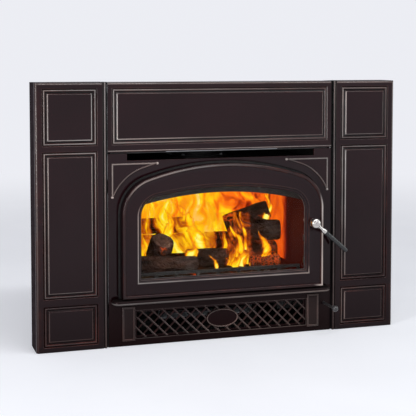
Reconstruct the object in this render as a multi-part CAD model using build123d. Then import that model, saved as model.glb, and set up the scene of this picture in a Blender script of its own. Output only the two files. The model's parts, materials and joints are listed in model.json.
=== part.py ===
"""Wood-burning fireplace insert with a three-panel cast surround, an arched glass door and a lattice air grille.

Millimetres. X runs along the front with 0 at the middle, Y runs from the room into the fireplace with 0 at the wall,
and Z is up with 0 at the hearth.
"""

from build123d import *
import math
import os

# ---------------------------------------------------------------- surround
surround_width = 1143.0
surround_height = 787.0
surround_depth = 95.0
panel_wall = 6.0
panel_edge_radius = 8.0
panel_boss_radius = 8.0
side_panel_width = 209.0
panel_gap = 6.0
middle_setback = 5.0
opening_height = 580.0
return_lip = 11.0
return_lip_depth = 2.5
edge_bead_radius = 3.0

# Frame mouldings cast into the panels: a channel with a ridge in it around a raised field.
moulding_channel = 17.0
moulding_depth = 3.0
moulding_slope = 28.0
ridge_offset = 5.5
ridge_width = 6.5
ridge_height = 2.6
side_moulding_border = 20.0
side_moulding_width = 164.0
low_moulding_bottom = 13.0
low_moulding_height = 123.0
tall_moulding_bottom = 154.0
tall_moulding_over = 7.0
square_moulding_foot = 21.0
square_moulding_head = 16.0
top_moulding_border = 11.0

# ---------------------------------------------------------------- front castings
front_plate_wall = 8.0
lip_bottom = 127.0
lip_thickness = 16.0
lip_reach = 32.0
lip_end_gap = 8.5
lip_corner_radius = 20.0
slot_height = 21.0
ear_width = 57.5
ear_gap = 4.0
spandrel_offset = 22.5
spandrel_side_margin = 10.0
spandrel_top_margin = 7.0
spandrel_ridge_width = 6.0
spandrel_ridge_height = 3.0
grille_side_margin = 81.5
grille_opening_bottom = 21.0
grille_opening_height = 83.0
pilaster_width = 40.0
pilaster_height = 104.0
pilaster_bottom = 15.0
pilaster_gap = 1.5
pilaster_relief = 5.0
grille_thickness = 6.0
grille_flange = 11.0
grille_rim = 6.0
lattice_pitch = 33.3
lattice_bar = 5.0
oval_width = 102.0
oval_height = 57.0
oval_rim = 4.0
oval_relief = 4.0

# ---------------------------------------------------------------- door
door_side_margin = 36.5
door_bottom = 147.0
door_crown_margin = 14.0
door_rise = 146.0
door_corner = 112.0
door_gap = 7.0
door_proud = 27.0
door_seal_gap = 3.0
door_wall = 10.0
door_land = 31.0
door_bead_width = 10.0
door_bead_height = 5.0
door_bead_round = 3.5
door_stile = 48.0
glass_bottom = 192.0
glass_spring_drop = 5.0
glass_rise = 90.0
glass_corner = 68.0
glass_bevel = 11.0
glass_lap = 8.0
glass_thickness = 5.0
glass_gasket_thickness = 3.0
gasket_inset = 22.5
gasket_width = 10.0
gasket_channel_depth = 10.0
seal_clearance = 0.3
clip_length = 26.0
clip_width = 18.0
clip_thickness = 2.0
clip_boss_radius = 5.0
clip_boss_offset = 7.0
clip_screw_radius = 2.0
clip_side_rises = (38.0, 108.0)
clip_bottom_offset = 140.0
clip_top_offset = 120.0

# ---------------------------------------------------------------- hinge and latch
hinge_inset = 10.0
hinge_from_face = 11.0
hinge_pin_radius = 3.5
hinge_knuckle_radius = 5.5
hinge_arm_width = 9.0
hinge_lug_height = 24.0
hinge_pin_overlap = 10.0
hinge_rise = 65.0
hinge_drop = 33.0
running_clearance = 0.05
hinge_clearance = 0.3
latch_inset = 38.0
latch_drop = 45.0
latch_shaft_radius = 5.0
latch_boss_radius = 8.0
latch_boss_proud = 6.0
latch_flange_radius = 14.0
latch_neck_radius = 9.0
latch_neck_length = 9.0
latch_hub_radius = 15.5
latch_hub_length = 26.0
latch_hub_round = 5.0
handle_angle = -41.0
handle_length = 140.0
handle_neck_radius = 4.2
handle_flare_start = 30.0
handle_flare_length = 14.0
handle_flare_radius = 8.5
handle_grip_radius = 7.0
handle_grip_round = 3.0
pawl_thickness = 6.0
pawl_width = 12.0
pawl_length = 22.0
nut_across = 16.0
nut_height = 5.0

# ---------------------------------------------------------------- firebox
seat_wall = 6.0
seat_inset = 28.0
seat_top_gap = 2.0
firebox_wall = 6.0
side_air_way = 28.0
firebox_depth = 387.0
firebox_top_drop = 15.0
brick_thickness = 30.0
brick_joint = 1.0
brick_top_drop = 85.0
brick_front_gap = 27.0
floor_brick_columns = 4
floor_brick_rows = 3
baffle_thickness = 24.0
baffle_front_gap = 95.0
tube_radius = 11.0
tube_count = 3
tube_hole_radius = 2.5
tube_hole_pitch = 40.0
lintel_thickness = 4.0
lintel_rise = 60.0
lintel_drop = 37.0
lintel_top_gap = 14.0
flue_radius = 76.0
flue_wall = 6.0
flue_flange_radius = 100.0
flue_flange_thickness = 6.0
flue_centre_y = 190.0
flue_length = 100.0
flue_bolt_circle = 91.0
ember_height = 35.0
ember_slope = 10.0
ember_side_margin = 24.0
ember_end_margin = 4.0
fence_height = 50.0
fence_thickness = 9.0
fence_bar = 9.0
fence_count = 9
fence_margin = 16.0

# ---------------------------------------------------------------- casing, air control and blower
casing_margin = 11.5
casing_sheet = 2.0
base_sheet = 3.0
casing_depth = 448.0
collar_hole_clearance = 3.0
leg_thickness = 5.0
leg_width = 40.0
strap_wall = 3.0
strap_height = 40.0
strap_reach = 45.0
low_strap_height = 110.0
high_strap_drop = 96.0
bridge_shares = (0.29, 0.75)
bridge_half_length = 34.0
bolt_radius = 3.0
bolt_head_radius = 5.5
bolt_head_height = 4.0
bolt_hole_clearance = 0.2
rod_radius = 4.0
rod_side_gap = 11.0
rod_height = 88.0
rod_reach = 84.0
rod_tail = 262.0
knob_radius = 10.0
knob_neck_radius = 5.5
knob_neck_length = 6.0
slide_travel = 55.0
shutter_wall = 2.0
shutter_length = 62.0
shutter_height = 44.0
air_box_wall = 2.0
air_box_width = 110.0
air_box_length = 140.0
air_box_height = 66.0
air_window_height = 34.0
air_window_length = 44.0
air_port_radius = 9.0
air_port_count = 3
blower_side_margin = 180.0
blower_sheet = 2.0
blower_height = 112.0
blower_length = 120.0
blower_from_wall = 60.0
rotor_radius = 38.0
rotor_end_gap = 6.0
rotor_disc = 2.0
rotor_blades = 16
rotor_blade = 1.6
rotor_blade_depth = 10.0
rotor_shaft_radius = 4.0
motor_radius = 36.0
motor_length = 62.0
motor_foot_width = 50.0
motor_round = 5.0

# ---------------------------------------------------------------- levels worked out from the sizes above
side_face = -surround_depth
middle_face = side_face + middle_setback
side_inner = surround_width / 2 - side_panel_width
middle_half = side_inner - panel_gap
top_panel_bottom = opening_height
plate_back = middle_face + front_plate_wall
lip_top = lip_bottom + lip_thickness
ear_top = top_panel_bottom - ear_gap
slot_bottom = ear_top - slot_height
tall_moulding_height = top_panel_bottom + tall_moulding_over - tall_moulding_bottom
square_moulding_bottom = top_panel_bottom + square_moulding_foot
square_moulding_height = surround_height - square_moulding_head - square_moulding_bottom
door_half_width = middle_half - door_side_margin
door_spring = slot_bottom - door_crown_margin - door_rise
glass_half_width = door_half_width - door_stile
glass_spring = door_spring - glass_spring_drop
clip_side_heights = [glass_bottom + rise for rise in clip_side_rises]
grille_opening_width = 2 * (middle_half - grille_side_margin)
casing_half_width = middle_half - casing_margin
casing_top = ear_top
door_face = middle_face - door_proud
door_back = plate_back - door_seal_gap
door_wall_back = door_face + door_wall
seat_front = plate_back
seat_back = seat_front + seat_wall
hinge_heights = (door_bottom + hinge_rise, door_spring - hinge_drop)
latch_x = door_half_width - latch_inset
latch_height = door_spring - latch_drop
hinge_x = hinge_inset - door_half_width
hinge_y = door_face + hinge_from_face
hub_back = door_face - latch_boss_proud - latch_neck_length
arm_y = hub_back - latch_hub_length / 2
firebox_floor_top = lip_bottom
firebox_floor_bottom = lip_bottom - firebox_wall
firebox_back = seat_back + firebox_depth
firebox_inner_half = casing_half_width - side_air_way
firebox_half = firebox_inner_half + firebox_wall
firebox_top = slot_bottom - firebox_top_drop
hearth_half = firebox_inner_half - brick_thickness
brick_floor_top = firebox_floor_top + brick_thickness
brick_top = firebox_top - brick_top_drop
lintel_crown = glass_spring + lintel_rise
lintel_top = firebox_top - lintel_top_gap
flue_top = firebox_top + flue_length
casing_back = seat_front + casing_depth
casing_outer = casing_half_width + casing_sheet
strap_heights = (low_strap_height, casing_top - high_strap_drop)
top_panel_height = surround_height - top_panel_bottom
bridge_heights = [top_panel_bottom + share * top_panel_height for share in bridge_shares]
rod_from_middle = casing_half_width - rod_side_gap
blower_width = 2 * (casing_half_width - blower_side_margin)


# ---------------------------------------------------------------- helpers
def block(x0, x1, y0, y1, z0, z1):
    """A box between two corners."""
    return Pos((x0 + x1) / 2, (y0 + y1) / 2, (z0 + z1) / 2) * Box(x1 - x0, y1 - y0, z1 - z0)


def mirrored(solid):
    """The same solid on the other side of the middle."""
    return mirror(solid, about=Plane.YZ)


def bar_y(radius, x, z, y0, y1):
    """A round bar along Y."""
    return Pos(x, (y0 + y1) / 2, z) * Rot(90, 0, 0) * Cylinder(radius, y1 - y0)


def bar_z(radius, x, y, z0, z1):
    """A round bar along Z."""
    return Pos(x, y, (z0 + z1) / 2) * Cylinder(radius, z1 - z0)


def bar_x(radius, y, z, x0, x1):
    """A round bar along X."""
    return Pos((x0 + x1) / 2, y, z) * Rot(0, 90, 0) * Cylinder(radius, x1 - x0)


def front_plane(y):
    """The drawing plane at depth y: its X is X, its Y is Z, and it faces the room."""
    return Plane(origin=(0, y, 0), x_dir=(1, 0, 0), z_dir=(0, -1, 0))


def slab(outline, front, back):
    """An outline drawn in X and Z, as a plate from its front face to its back face."""
    return extrude(front_plane(back) * outline, amount=back - front)


def frame_rectangle(x0, x1, z0, z1):
    """A rectangle in X and Z."""
    return Pos((x0 + x1) / 2, (z0 + z1) / 2) * Rectangle(x1 - x0, z1 - z0)


def arch_outline(half, foot, spring, rise, corner):
    """A straight-sided opening under a three-centred arch: two corner arcs and a flatter crown arc."""
    crown = ((half - corner) ** 2 + rise**2 - corner**2) / (2 * (rise - corner))
    crown_z = spring + rise - crown
    turn = math.degrees(math.atan2(spring - crown_z, half - corner))
    edges = [
        CenterArc((half - corner, spring), corner, 0, turn),
        CenterArc((0, crown_z), crown, turn, 180 - 2 * turn),
        CenterArc((corner - half, spring), corner, 180 - turn, turn),
        Line((-half, spring), (-half, foot)),
        Line((-half, foot), (half, foot)),
        Line((half, foot), (half, spring)),
    ]
    return make_face(edges)


def door_outline(inset):
    """The door's outline, moved inwards by inset all round."""
    return arch_outline(
        door_half_width - inset, door_bottom + inset, door_spring, door_rise - inset, door_corner - inset
    )


def glass_outline(inset):
    """The outline of the glass opening's outer bevel line, moved inwards by inset all round."""
    return arch_outline(
        glass_half_width - inset, glass_bottom + inset, glass_spring, glass_rise - inset, glass_corner - inset
    )


def bolt_y(x, z, seat, tip):
    """A hexagon-headed bolt along Y: its head bears on seat and its shank ends at tip."""
    towards = 1 if tip > seat else -1
    head = Plane(origin=(x, seat, z), x_dir=(1, 0, 0), z_dir=(0, -towards, 0))
    hexagon = extrude(head * RegularPolygon(bolt_head_radius, 6), amount=bolt_head_height)
    return hexagon + bar_y(bolt_radius, x, z, min(seat, tip), max(seat, tip))


# ---------------------------------------------------------------- surround
def moulded(panel, face, x0, x1, z0, z1):
    """Cuts a frame moulding into a panel: a channel with sloping walls, and a ridge along the channel."""
    floor = face + moulding_depth
    into = Plane(origin=(0, face, 0), x_dir=(-1, 0, 0), z_dir=(0, 1, 0))
    flipped = frame_rectangle(-x1, -x0, z0, z1)
    inner = frame_rectangle(
        -x1 + moulding_channel, -x0 - moulding_channel, z0 + moulding_channel, z1 - moulding_channel
    )
    channel = extrude(into * flipped, amount=moulding_depth, taper=moulding_slope)
    channel -= extrude(into * inner, amount=moulding_depth, taper=-moulding_slope)
    near = ridge_offset
    far = ridge_offset + ridge_width
    outer_ridge = frame_rectangle(x0 + near, x1 - near, z0 + near, z1 - near)
    inner_ridge = frame_rectangle(x0 + far, x1 - far, z0 + far, z1 - far)
    out = front_plane(floor)
    ridge = extrude(out * outer_ridge, amount=ridge_height, taper=moulding_slope)
    ridge -= extrude(out * inner_ridge, amount=ridge_height, taper=-moulding_slope)
    return panel - channel + ridge


def side_panel():
    """The left panel: a face with returns along its outer side and top, and three frame mouldings."""
    outer = -surround_width / 2
    panel = block(outer, -side_inner, side_face, 0, 0, surround_height)
    front_edges = panel.edges().group_by(Axis.Y)[0]
    rounded = front_edges.sort_by(Axis.X)[0:1] + front_edges.sort_by(Axis.Z)[-1:]
    panel = fillet(rounded, panel_edge_radius)
    panel -= block(outer + panel_wall, -side_inner, side_face + panel_wall, 0, 0, surround_height - panel_wall)
    step = side_face + return_lip_depth
    panel -= block(-side_inner - return_lip, -side_inner, side_face, step, 0, surround_height)
    bead_x = -side_inner - edge_bead_radius
    panel += bar_z(edge_bead_radius, bead_x, step, 0, surround_height - panel_wall)
    left = outer + side_moulding_border
    right = left + side_moulding_width
    for bottom, height in (
        (low_moulding_bottom, low_moulding_height),
        (tall_moulding_bottom, tall_moulding_height),
        (square_moulding_bottom, square_moulding_height),
    ):
        panel = moulded(panel, side_face, left, right, bottom, bottom + height)
    for z in strap_heights:
        panel += bar_y(panel_boss_radius, -strap_bolt_x(), z, side_face + panel_wall, plate_back)
        panel -= bar_y(bolt_radius, -strap_bolt_x(), z, side_face + panel_wall / 2, plate_back)
    for z in bridge_heights:
        panel -= bar_y(bolt_radius, -bridge_side_x(), z, side_face + panel_wall / 2, side_face + panel_wall)
    return panel


def top_panel():
    """The panel between the side panels: a face with a return along its top and one long frame moulding."""
    panel = block(-middle_half, middle_half, middle_face, 0, top_panel_bottom, surround_height)
    top_edge = panel.edges().group_by(Axis.Y)[0].sort_by(Axis.Z)[-1:]
    panel = fillet(top_edge, panel_edge_radius)
    inner_top = surround_height - panel_wall
    panel -= block(-middle_half, middle_half, middle_face + panel_wall, 0, top_panel_bottom, inner_top)
    bead_z = top_panel_bottom + edge_bead_radius
    panel += bar_x(edge_bead_radius, middle_face, bead_z, -middle_half, middle_half)
    edge = middle_half - top_moulding_border
    top = square_moulding_bottom + square_moulding_height
    panel = moulded(panel, middle_face, -edge, edge, square_moulding_bottom, top)
    for x in (-bridge_top_x(), bridge_top_x()):
        for z in bridge_heights:
            panel -= bar_y(bolt_radius, x, z, middle_face + panel_wall / 2, middle_face + panel_wall)
    return panel


def strap_bolt_x():
    """Where a strap's bolt enters the side panel's boss."""
    return casing_outer + strap_wall + strap_reach / 2


def bridge_side_x():
    """Where a bridge's bolt enters the side panel."""
    return side_inner + bridge_half_length / 2


def bridge_top_x():
    """Where a bridge's bolt enters the top panel."""
    return middle_half - bridge_half_length / 2


def bridges():
    """Joggled plates behind the seams, which hold the top panel to the side panels."""
    side_back = side_face + panel_wall
    middle_back = middle_face + panel_wall
    right = []
    for z in bridge_heights:
        low = z - strap_height / 2
        high = z + strap_height / 2
        plate = block(side_inner, side_inner + bridge_half_length, side_back, middle_back + strap_wall, low, high)
        plate += block(
            middle_half - bridge_half_length, side_inner + bridge_half_length,
            middle_back, middle_back + strap_wall, low, high,
        )
        for x in (bridge_side_x(), bridge_top_x()):
            hole = bolt_radius + bolt_hole_clearance
            plate -= bar_y(hole, x, z, side_back - 1, middle_back + strap_wall + 1)
        right.append(plate)
    return Compound(children=right + [mirrored(plate) for plate in right])


def side_straps():
    """Angles that carry the side panels on the casing."""
    right = []
    for z in strap_heights:
        low = z - strap_height / 2
        high = z + strap_height / 2
        inner = casing_outer + strap_wall
        strap = block(casing_outer, inner, plate_back, plate_back + 2 * strap_height, low, high)
        strap += block(casing_outer, inner + strap_reach, plate_back, plate_back + strap_wall, low, high)
        hole = bolt_radius + bolt_hole_clearance
        strap -= bar_y(hole, strap_bolt_x(), z, plate_back, plate_back + strap_wall)
        right.append(strap)
    return Compound(children=right + [mirrored(strap) for strap in right])


def surround_bolts():
    """The bolts through the straps and the bridges."""
    side_back = side_face + panel_wall
    middle_back = middle_face + panel_wall
    right = []
    for z in strap_heights:
        right.append(bolt_y(strap_bolt_x(), z, plate_back + strap_wall, side_back - panel_wall / 2))
    for z in bridge_heights:
        seat = middle_back + strap_wall
        right.append(bolt_y(bridge_side_x(), z, seat, side_back - panel_wall / 2))
        right.append(bolt_y(bridge_top_x(), z, seat, middle_back - panel_wall / 2))
    return Compound(children=right + [mirrored(bolt) for bolt in right])


# ---------------------------------------------------------------- front castings
def plate_screw_places():
    """Where the front plate is bolted to the door seat."""
    x = (door_half_width + door_gap + casing_half_width) / 2
    return [(side * x, z) for side in (-1, 1) for z in hinge_heights]


def front_plate():
    """The arched plate around the door, with an ear each side of the hot-air slot and a ridged spandrel."""
    outline = frame_rectangle(-middle_half, middle_half, lip_top, ear_top)
    ear_x = middle_half - ear_width
    outline -= frame_rectangle(-ear_x, ear_x, slot_bottom, ear_top)
    outline -= door_outline(-door_gap)
    plate = slab(outline, middle_face, plate_back)
    for side in (-1, 1):
        plate += spandrel(side)
    for x, z in plate_screw_places():
        plate -= bar_y(bolt_radius, x, z, plate_back - front_plate_wall / 2, plate_back)
    return plate


def spandrel(side):
    """The ridge around one corner field, curved where it follows the arch."""
    x1 = middle_half - spandrel_side_margin
    z1 = slot_bottom - spandrel_top_margin
    grow = door_gap + spandrel_offset
    ridge = spandrel_ridge_width
    outer = frame_rectangle(0, x1, door_spring, z1) - door_outline(-grow)
    inner = frame_rectangle(0, x1 - ridge, door_spring, z1 - ridge) - door_outline(-grow - ridge)
    solid = slab(outer - inner, middle_face - spandrel_ridge_height, middle_face)
    return solid if side > 0 else mirrored(solid)


def pilaster_span():
    """The inner and outer X of a raised pilaster panel."""
    inner = grille_opening_width / 2 + pilaster_gap
    return inner, inner + pilaster_width


def lower_front():
    """The plate under the ash lip: the grille opening between two raised pilaster panels."""
    outline = frame_rectangle(-middle_half, middle_half, 0, lip_bottom)
    outline -= frame_rectangle(*grille_window())
    plate = slab(outline, middle_face, plate_back)
    inner, outer = pilaster_span()
    panel = block(
        inner, outer, middle_face - pilaster_relief, middle_face, pilaster_bottom, pilaster_bottom + pilaster_height
    )
    panel = chamfer(panel.edges().group_by(Axis.Y)[0], pilaster_relief / 2)
    plate += panel
    plate += mirrored(panel)
    plate -= bar_y(rod_radius + running_clearance, rod_from_middle, rod_height, middle_face - 1, plate_back + 1)
    for x, z in lower_screw_places() + grille_screw_places():
        plate -= bar_y(bolt_radius, x, z, plate_back - front_plate_wall / 2, plate_back)
    return plate


def grille_window():
    """The grille opening's left, right, bottom and top."""
    half = grille_opening_width / 2
    return -half, half, grille_opening_bottom, grille_opening_bottom + grille_opening_height


def grille_screw_places():
    """The screws in the corners of the grille's flange."""
    left, right, low, high = grille_window()
    out = grille_flange / 2
    return [(x, z) for x in (left - out, right + out) for z in (low - out, high + out)]


def grille():
    """The cast air grille behind its opening: diamond holes in a flange, and a blank raised oval in the middle."""
    left, right, low, high = grille_window()
    front = plate_back
    back = front + grille_thickness
    middle_z = (low + high) / 2
    hole = lattice_pitch / math.sqrt(2) - lattice_bar
    window = frame_rectangle(left + grille_rim, right - grille_rim, low + grille_rim, high - grille_rim)
    step = lattice_pitch / 2
    columns = math.ceil(right / step)
    rows = math.ceil((high - low) / 2 / step)
    places = [
        (i * step, middle_z + j * step)
        for i in range(-columns, columns + 1)
        for j in range(-rows, rows + 1)
        if (i + j) % 2 == 0
    ]
    diamonds = Sketch() + [Pos(x, z) * Rot(0, 0, 45) * Rectangle(hole, hole) for x, z in places]
    oval = Pos(0, middle_z) * Ellipse(oval_width / 2, oval_height / 2)
    holes = (diamonds & window) - oval
    flange = frame_rectangle(
        left - grille_flange, right + grille_flange, low - grille_flange, high + grille_flange
    )
    body = slab(flange - holes, front, back)
    inside = Pos(0, middle_z) * Ellipse(oval_width / 2 - oval_rim, oval_height / 2 - oval_rim)
    body += slab(oval, front - oval_relief / 2, front)
    body += slab(oval - inside, front - oval_relief, front - oval_relief / 2)
    for x, z in grille_screw_places():
        body -= bar_y(bolt_radius, x, z, front, back)
    return body


def grille_screws():
    """The screws that hold the grille behind the lower front."""
    back = plate_back + grille_thickness
    return Compound(children=[bolt_y(x, z, back, plate_back - front_plate_wall / 2) for x, z in grille_screw_places()])


def ash_lip():
    """The shelf under the door, with rounded front corners and a rounded front edge."""
    half = middle_half - lip_end_gap
    front = middle_face - lip_reach
    lip = block(-half, half, front, plate_back, lip_bottom, lip_top)
    corners = lip.edges().filter_by(Axis.Z).group_by(Axis.Y)[0]
    lip = fillet(corners, lip_corner_radius)
    nose = lip.edges().filter_by(lambda e: abs(e.center().Z - lip_top) < 0.01 and e.center().Y < middle_face)
    lip = fillet(nose, lip_thickness / 3)
    for x in lip_screw_places():
        lip -= bar_y(bolt_radius, x, (lip_bottom + lip_top) / 2, plate_back - bolt_head_height, plate_back)
    return lip


def lip_screw_places():
    """Where the ash lip is bolted to the door seat."""
    x = middle_half * 2 / 3
    return [-x, x]


def lower_screw_places():
    """Where the lower front is bolted to the casing's front feet."""
    x = casing_half_width - leg_width / 2
    return [(-x, strap_heights[0] / 2), (x, strap_heights[0] / 2)]


def front_bolts():
    """The bolts that hold the front plate, the lower front and the ash lip from behind."""
    bolts = [bolt_y(x, z, seat_back, plate_back - front_plate_wall / 2) for x, z in plate_screw_places()]
    lip_z = (lip_bottom + lip_top) / 2
    bolts += [bolt_y(x, lip_z, seat_back, plate_back - bolt_head_height) for x in lip_screw_places()]
    foot_back = plate_back + leg_thickness
    bolts += [bolt_y(x, z, foot_back, plate_back - front_plate_wall / 2) for x, z in lower_screw_places()]
    return Compound(children=bolts)


# ---------------------------------------------------------------- door
def door_frame():
    """The cast door: a beaded arched frame with a bevelled glass opening, a seal channel and hinge pockets."""
    body = slab(door_outline(0), door_face, door_back)
    body -= slab(door_outline(door_land), door_wall_back, door_back)
    bead = slab(door_outline(0) - door_outline(door_bead_width), door_face - door_bead_height, door_face)
    body += fillet(bead.edges().group_by(Axis.Y)[0], door_bead_round)
    bevel_back = door_face + door_wall * 0.8
    body -= slab(glass_outline(glass_bevel), door_face, door_wall_back)
    wide = front_plane(door_face) * glass_outline(0)
    narrow = front_plane(bevel_back) * glass_outline(glass_bevel)
    body -= loft([wide, narrow], ruled=True)
    for x, z in clip_places():
        body += bar_y(clip_boss_radius, x, z, door_wall_back, clip_seat())
    body += bar_y(latch_boss_radius, latch_x, latch_height, door_wall_back, door_back)
    body += bar_y(latch_flange_radius, latch_x, latch_height, door_face - latch_boss_proud / 2, door_face)
    half_gasket = gasket_width / 2
    channel = door_outline(gasket_inset - half_gasket) - door_outline(gasket_inset + half_gasket)
    body -= slab(channel, door_back - gasket_channel_depth, door_back)
    for x, z in clip_places():
        body -= bar_y(clip_screw_radius, x, z, door_wall_back, clip_seat())
    hole = latch_shaft_radius + running_clearance
    body -= bar_y(hole, latch_x, latch_height, door_face - latch_boss_proud, door_back + 1)
    room = hinge_knuckle_radius + hinge_clearance
    for z in hinge_heights:
        low = z - hinge_lug_height / 2 - hinge_clearance
        high = z + hinge_lug_height / 2 + hinge_clearance
        body -= block(-door_half_width - 1, hinge_x + room, hinge_y - room, door_back + 1, low, high)
        body -= bar_z(hinge_pin_radius, hinge_x, hinge_y, low - hinge_pin_overlap, high + hinge_pin_overlap)
    return body


def clip_seat():
    """The plane behind the glass where its clips bear."""
    return door_wall_back + glass_gasket_thickness + glass_thickness


def clip_places():
    """The screws of the glass clips: two each side, two below and two above the glass."""
    side_x = glass_half_width + clip_boss_offset
    places = [(side * side_x, z) for side in (-1, 1) for z in clip_side_heights]
    places += [(side * clip_bottom_offset, glass_bottom - clip_boss_offset) for side in (-1, 1)]
    crown = ((glass_half_width - glass_corner) ** 2 + glass_rise**2 - glass_corner**2) / (
        2 * (glass_rise - glass_corner)
    )
    arch_z = glass_spring + glass_rise - crown + math.sqrt(crown**2 - clip_top_offset**2)
    places += [(side * clip_top_offset, arch_z + clip_boss_offset) for side in (-1, 1)]
    return places


def glass_clips():
    """Spring-steel clips that hold the glass against its gasket."""
    clips = []
    for x, z in clip_places():
        beside = abs(x) > glass_half_width
        long_x = clip_length if beside else clip_width
        long_z = clip_width if beside else clip_length
        shift = clip_length / 2 - clip_boss_radius - clip_thickness
        centre_x = x - math.copysign(shift, x) if beside else x
        up = 1 if z < glass_spring else -1
        centre_z = z if beside else z + up * shift
        clip = block(
            centre_x - long_x / 2, centre_x + long_x / 2, clip_seat(), clip_seat() + clip_thickness,
            centre_z - long_z / 2, centre_z + long_z / 2,
        )
        clip -= bar_y(clip_screw_radius, x, z, clip_seat(), clip_seat() + clip_thickness)
        clips.append(clip)
    return Compound(children=clips)


def clip_screws():
    """The screws of the glass clips."""
    seat = clip_seat() + clip_thickness
    screws = []
    for x, z in clip_places():
        screw = bar_y(clip_screw_radius, x, z, door_wall_back, seat)
        screw += bar_y(clip_screw_radius * 2, x, z, seat, seat + clip_screw_radius)
        screws.append(screw)
    return Compound(children=screws)


def door_glass():
    """The ceramic glass pane."""
    front = door_wall_back + glass_gasket_thickness
    return slab(glass_outline(glass_bevel - glass_lap), front, front + glass_thickness)


def glass_gasket():
    """The flat gasket between the glass and the door."""
    ring = glass_outline(glass_bevel - glass_lap) - glass_outline(glass_bevel)
    return slab(ring, door_wall_back, door_wall_back + glass_gasket_thickness)


def door_gasket():
    """The rope seal in the door's channel, which bears on the door seat."""
    half_gasket = gasket_width / 2
    ring = door_outline(gasket_inset - half_gasket) - door_outline(gasket_inset + half_gasket)
    return slab(ring, door_back - gasket_channel_depth, seat_front - seal_clearance)


def hinge_lugs():
    """Two lugs on the door seat, each with a knuckle for a hinge pin."""
    lugs = []
    half_arm = hinge_arm_width / 2
    for z in hinge_heights:
        low = z - hinge_lug_height / 2
        high = z + hinge_lug_height / 2
        lug = block(hinge_x - half_arm, hinge_x + half_arm, hinge_y, seat_front, low, high)
        lug += bar_z(hinge_knuckle_radius, hinge_x, hinge_y, low, high)
        lug -= bar_z(hinge_pin_radius + running_clearance, hinge_x, hinge_y, low, high)
        lug -= bar_y(bolt_radius, hinge_x, z, seat_front - hinge_arm_width, seat_front)
        lugs.append(lug)
    return Compound(children=lugs)


def hinge_pins():
    """The two hinge pins, fixed in the door and free in the lugs."""
    reach = hinge_lug_height / 2 + hinge_clearance + hinge_pin_overlap
    return Compound(children=[bar_z(hinge_pin_radius, hinge_x, hinge_y, z - reach, z + reach) for z in hinge_heights])


def lug_bolts():
    """The bolts that hold the hinge lugs from behind the door seat."""
    tip = seat_front - hinge_arm_width
    return Compound(children=[bolt_y(hinge_x, z, seat_back, tip) for z in hinge_heights])


# ---------------------------------------------------------------- latch and handle
def pawl_front():
    """The plane just behind the door seat where the pawl turns."""
    return seat_back + seal_clearance


def latch_shaft():
    """The shaft from the handle's hub through the door to the pawl."""
    tail = pawl_front() + pawl_thickness + nut_height
    return bar_y(latch_shaft_radius, latch_x, latch_height, hub_back - latch_hub_length / 2, tail)


def latch_bushing():
    """The spacer on the shaft between the door and the pawl."""
    front = door_back + seal_clearance
    ring = bar_y(latch_boss_radius, latch_x, latch_height, front, pawl_front())
    return ring - bar_y(latch_shaft_radius, latch_x, latch_height, front, pawl_front())


def latch_pawl():
    """The pawl, upright while the latch is free; it turns behind the door seat to lock."""
    front = pawl_front()
    back = front + pawl_thickness
    disc = bar_y(latch_boss_radius, latch_x, latch_height, front, back)
    half = pawl_width / 2
    arm = block(latch_x - half, latch_x + half, front, back, latch_height, latch_height + pawl_length)
    return disc + arm - bar_y(latch_shaft_radius, latch_x, latch_height, front, back)


def latch_nut():
    """The nut that holds the pawl on its shaft."""
    front = pawl_front() + pawl_thickness
    outline = Pos(latch_x, latch_height) * RegularPolygon(nut_across / 2, 6)
    nut = slab(outline, front, front + nut_height)
    return nut - bar_y(latch_shaft_radius, latch_x, latch_height, front, front + nut_height)


def handle_frame():
    """The handle's own plane: Z runs out along the handle, away from the hub."""
    angle = math.radians(handle_angle)
    return Plane(
        origin=(latch_x, arm_y, latch_height), x_dir=(0, 1, 0), z_dir=(math.cos(angle), 0, math.sin(angle))
    )


def handle_hub():
    """The plated hub, its neck and the flared socket that holds the grip."""
    collar_front = door_face - latch_boss_proud / 2 - seal_clearance
    neck = bar_y(latch_neck_radius, latch_x, latch_height, hub_back, collar_front)
    hub = bar_y(latch_hub_radius, latch_x, latch_height, hub_back - latch_hub_length, hub_back)
    hub = fillet(hub.edges().group_by(Axis.Y)[0] + hub.edges().group_by(Axis.Y)[-1], latch_hub_round)
    flare_end = handle_flare_start + handle_flare_length
    half_flare = handle_flare_start + handle_flare_length * 0.6
    profile = Polyline(
        (0, 0), (handle_neck_radius, 0), (handle_neck_radius, handle_flare_start),
        (handle_flare_radius, half_flare), (handle_flare_radius, flare_end), (0, flare_end), (0, 0),
    )
    frame = handle_frame()
    side = Plane(origin=frame.origin, x_dir=frame.x_dir, z_dir=frame.y_dir * -1)
    arm = revolve(side * make_face(profile), axis=Axis(frame.origin, frame.z_dir))
    body = hub + neck + arm
    return body - bar_y(latch_shaft_radius, latch_x, latch_height, hub_back - latch_hub_length / 2, collar_front)


def handle_grip():
    """The black grip."""
    frame = handle_frame()
    start = handle_flare_start + handle_flare_length
    grip = Cylinder(handle_grip_radius, handle_length - start, align=(Align.CENTER, Align.CENTER, Align.MIN))
    grip = fillet(grip.edges().group_by(Axis.Z)[-1], handle_grip_round)
    return frame * Pos(0, 0, start) * grip


# ---------------------------------------------------------------- firebox
def door_seat():
    """The plate around the loading opening that the door seals against."""
    outline = frame_rectangle(-casing_half_width, casing_half_width, lip_bottom, slot_bottom - seat_top_gap)
    outline -= door_outline(seat_inset)
    plate = slab(outline, seat_front, seat_back)
    clear = bolt_radius + bolt_hole_clearance
    for x, z in plate_screw_places():
        plate -= bar_y(clear, x, z, seat_front, seat_back)
    for x in lip_screw_places():
        plate -= bar_y(clear, x, (lip_bottom + lip_top) / 2, seat_front, seat_back)
    for z in hinge_heights:
        plate -= bar_y(clear, hinge_x, z, seat_front, seat_back)
    return plate


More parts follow.
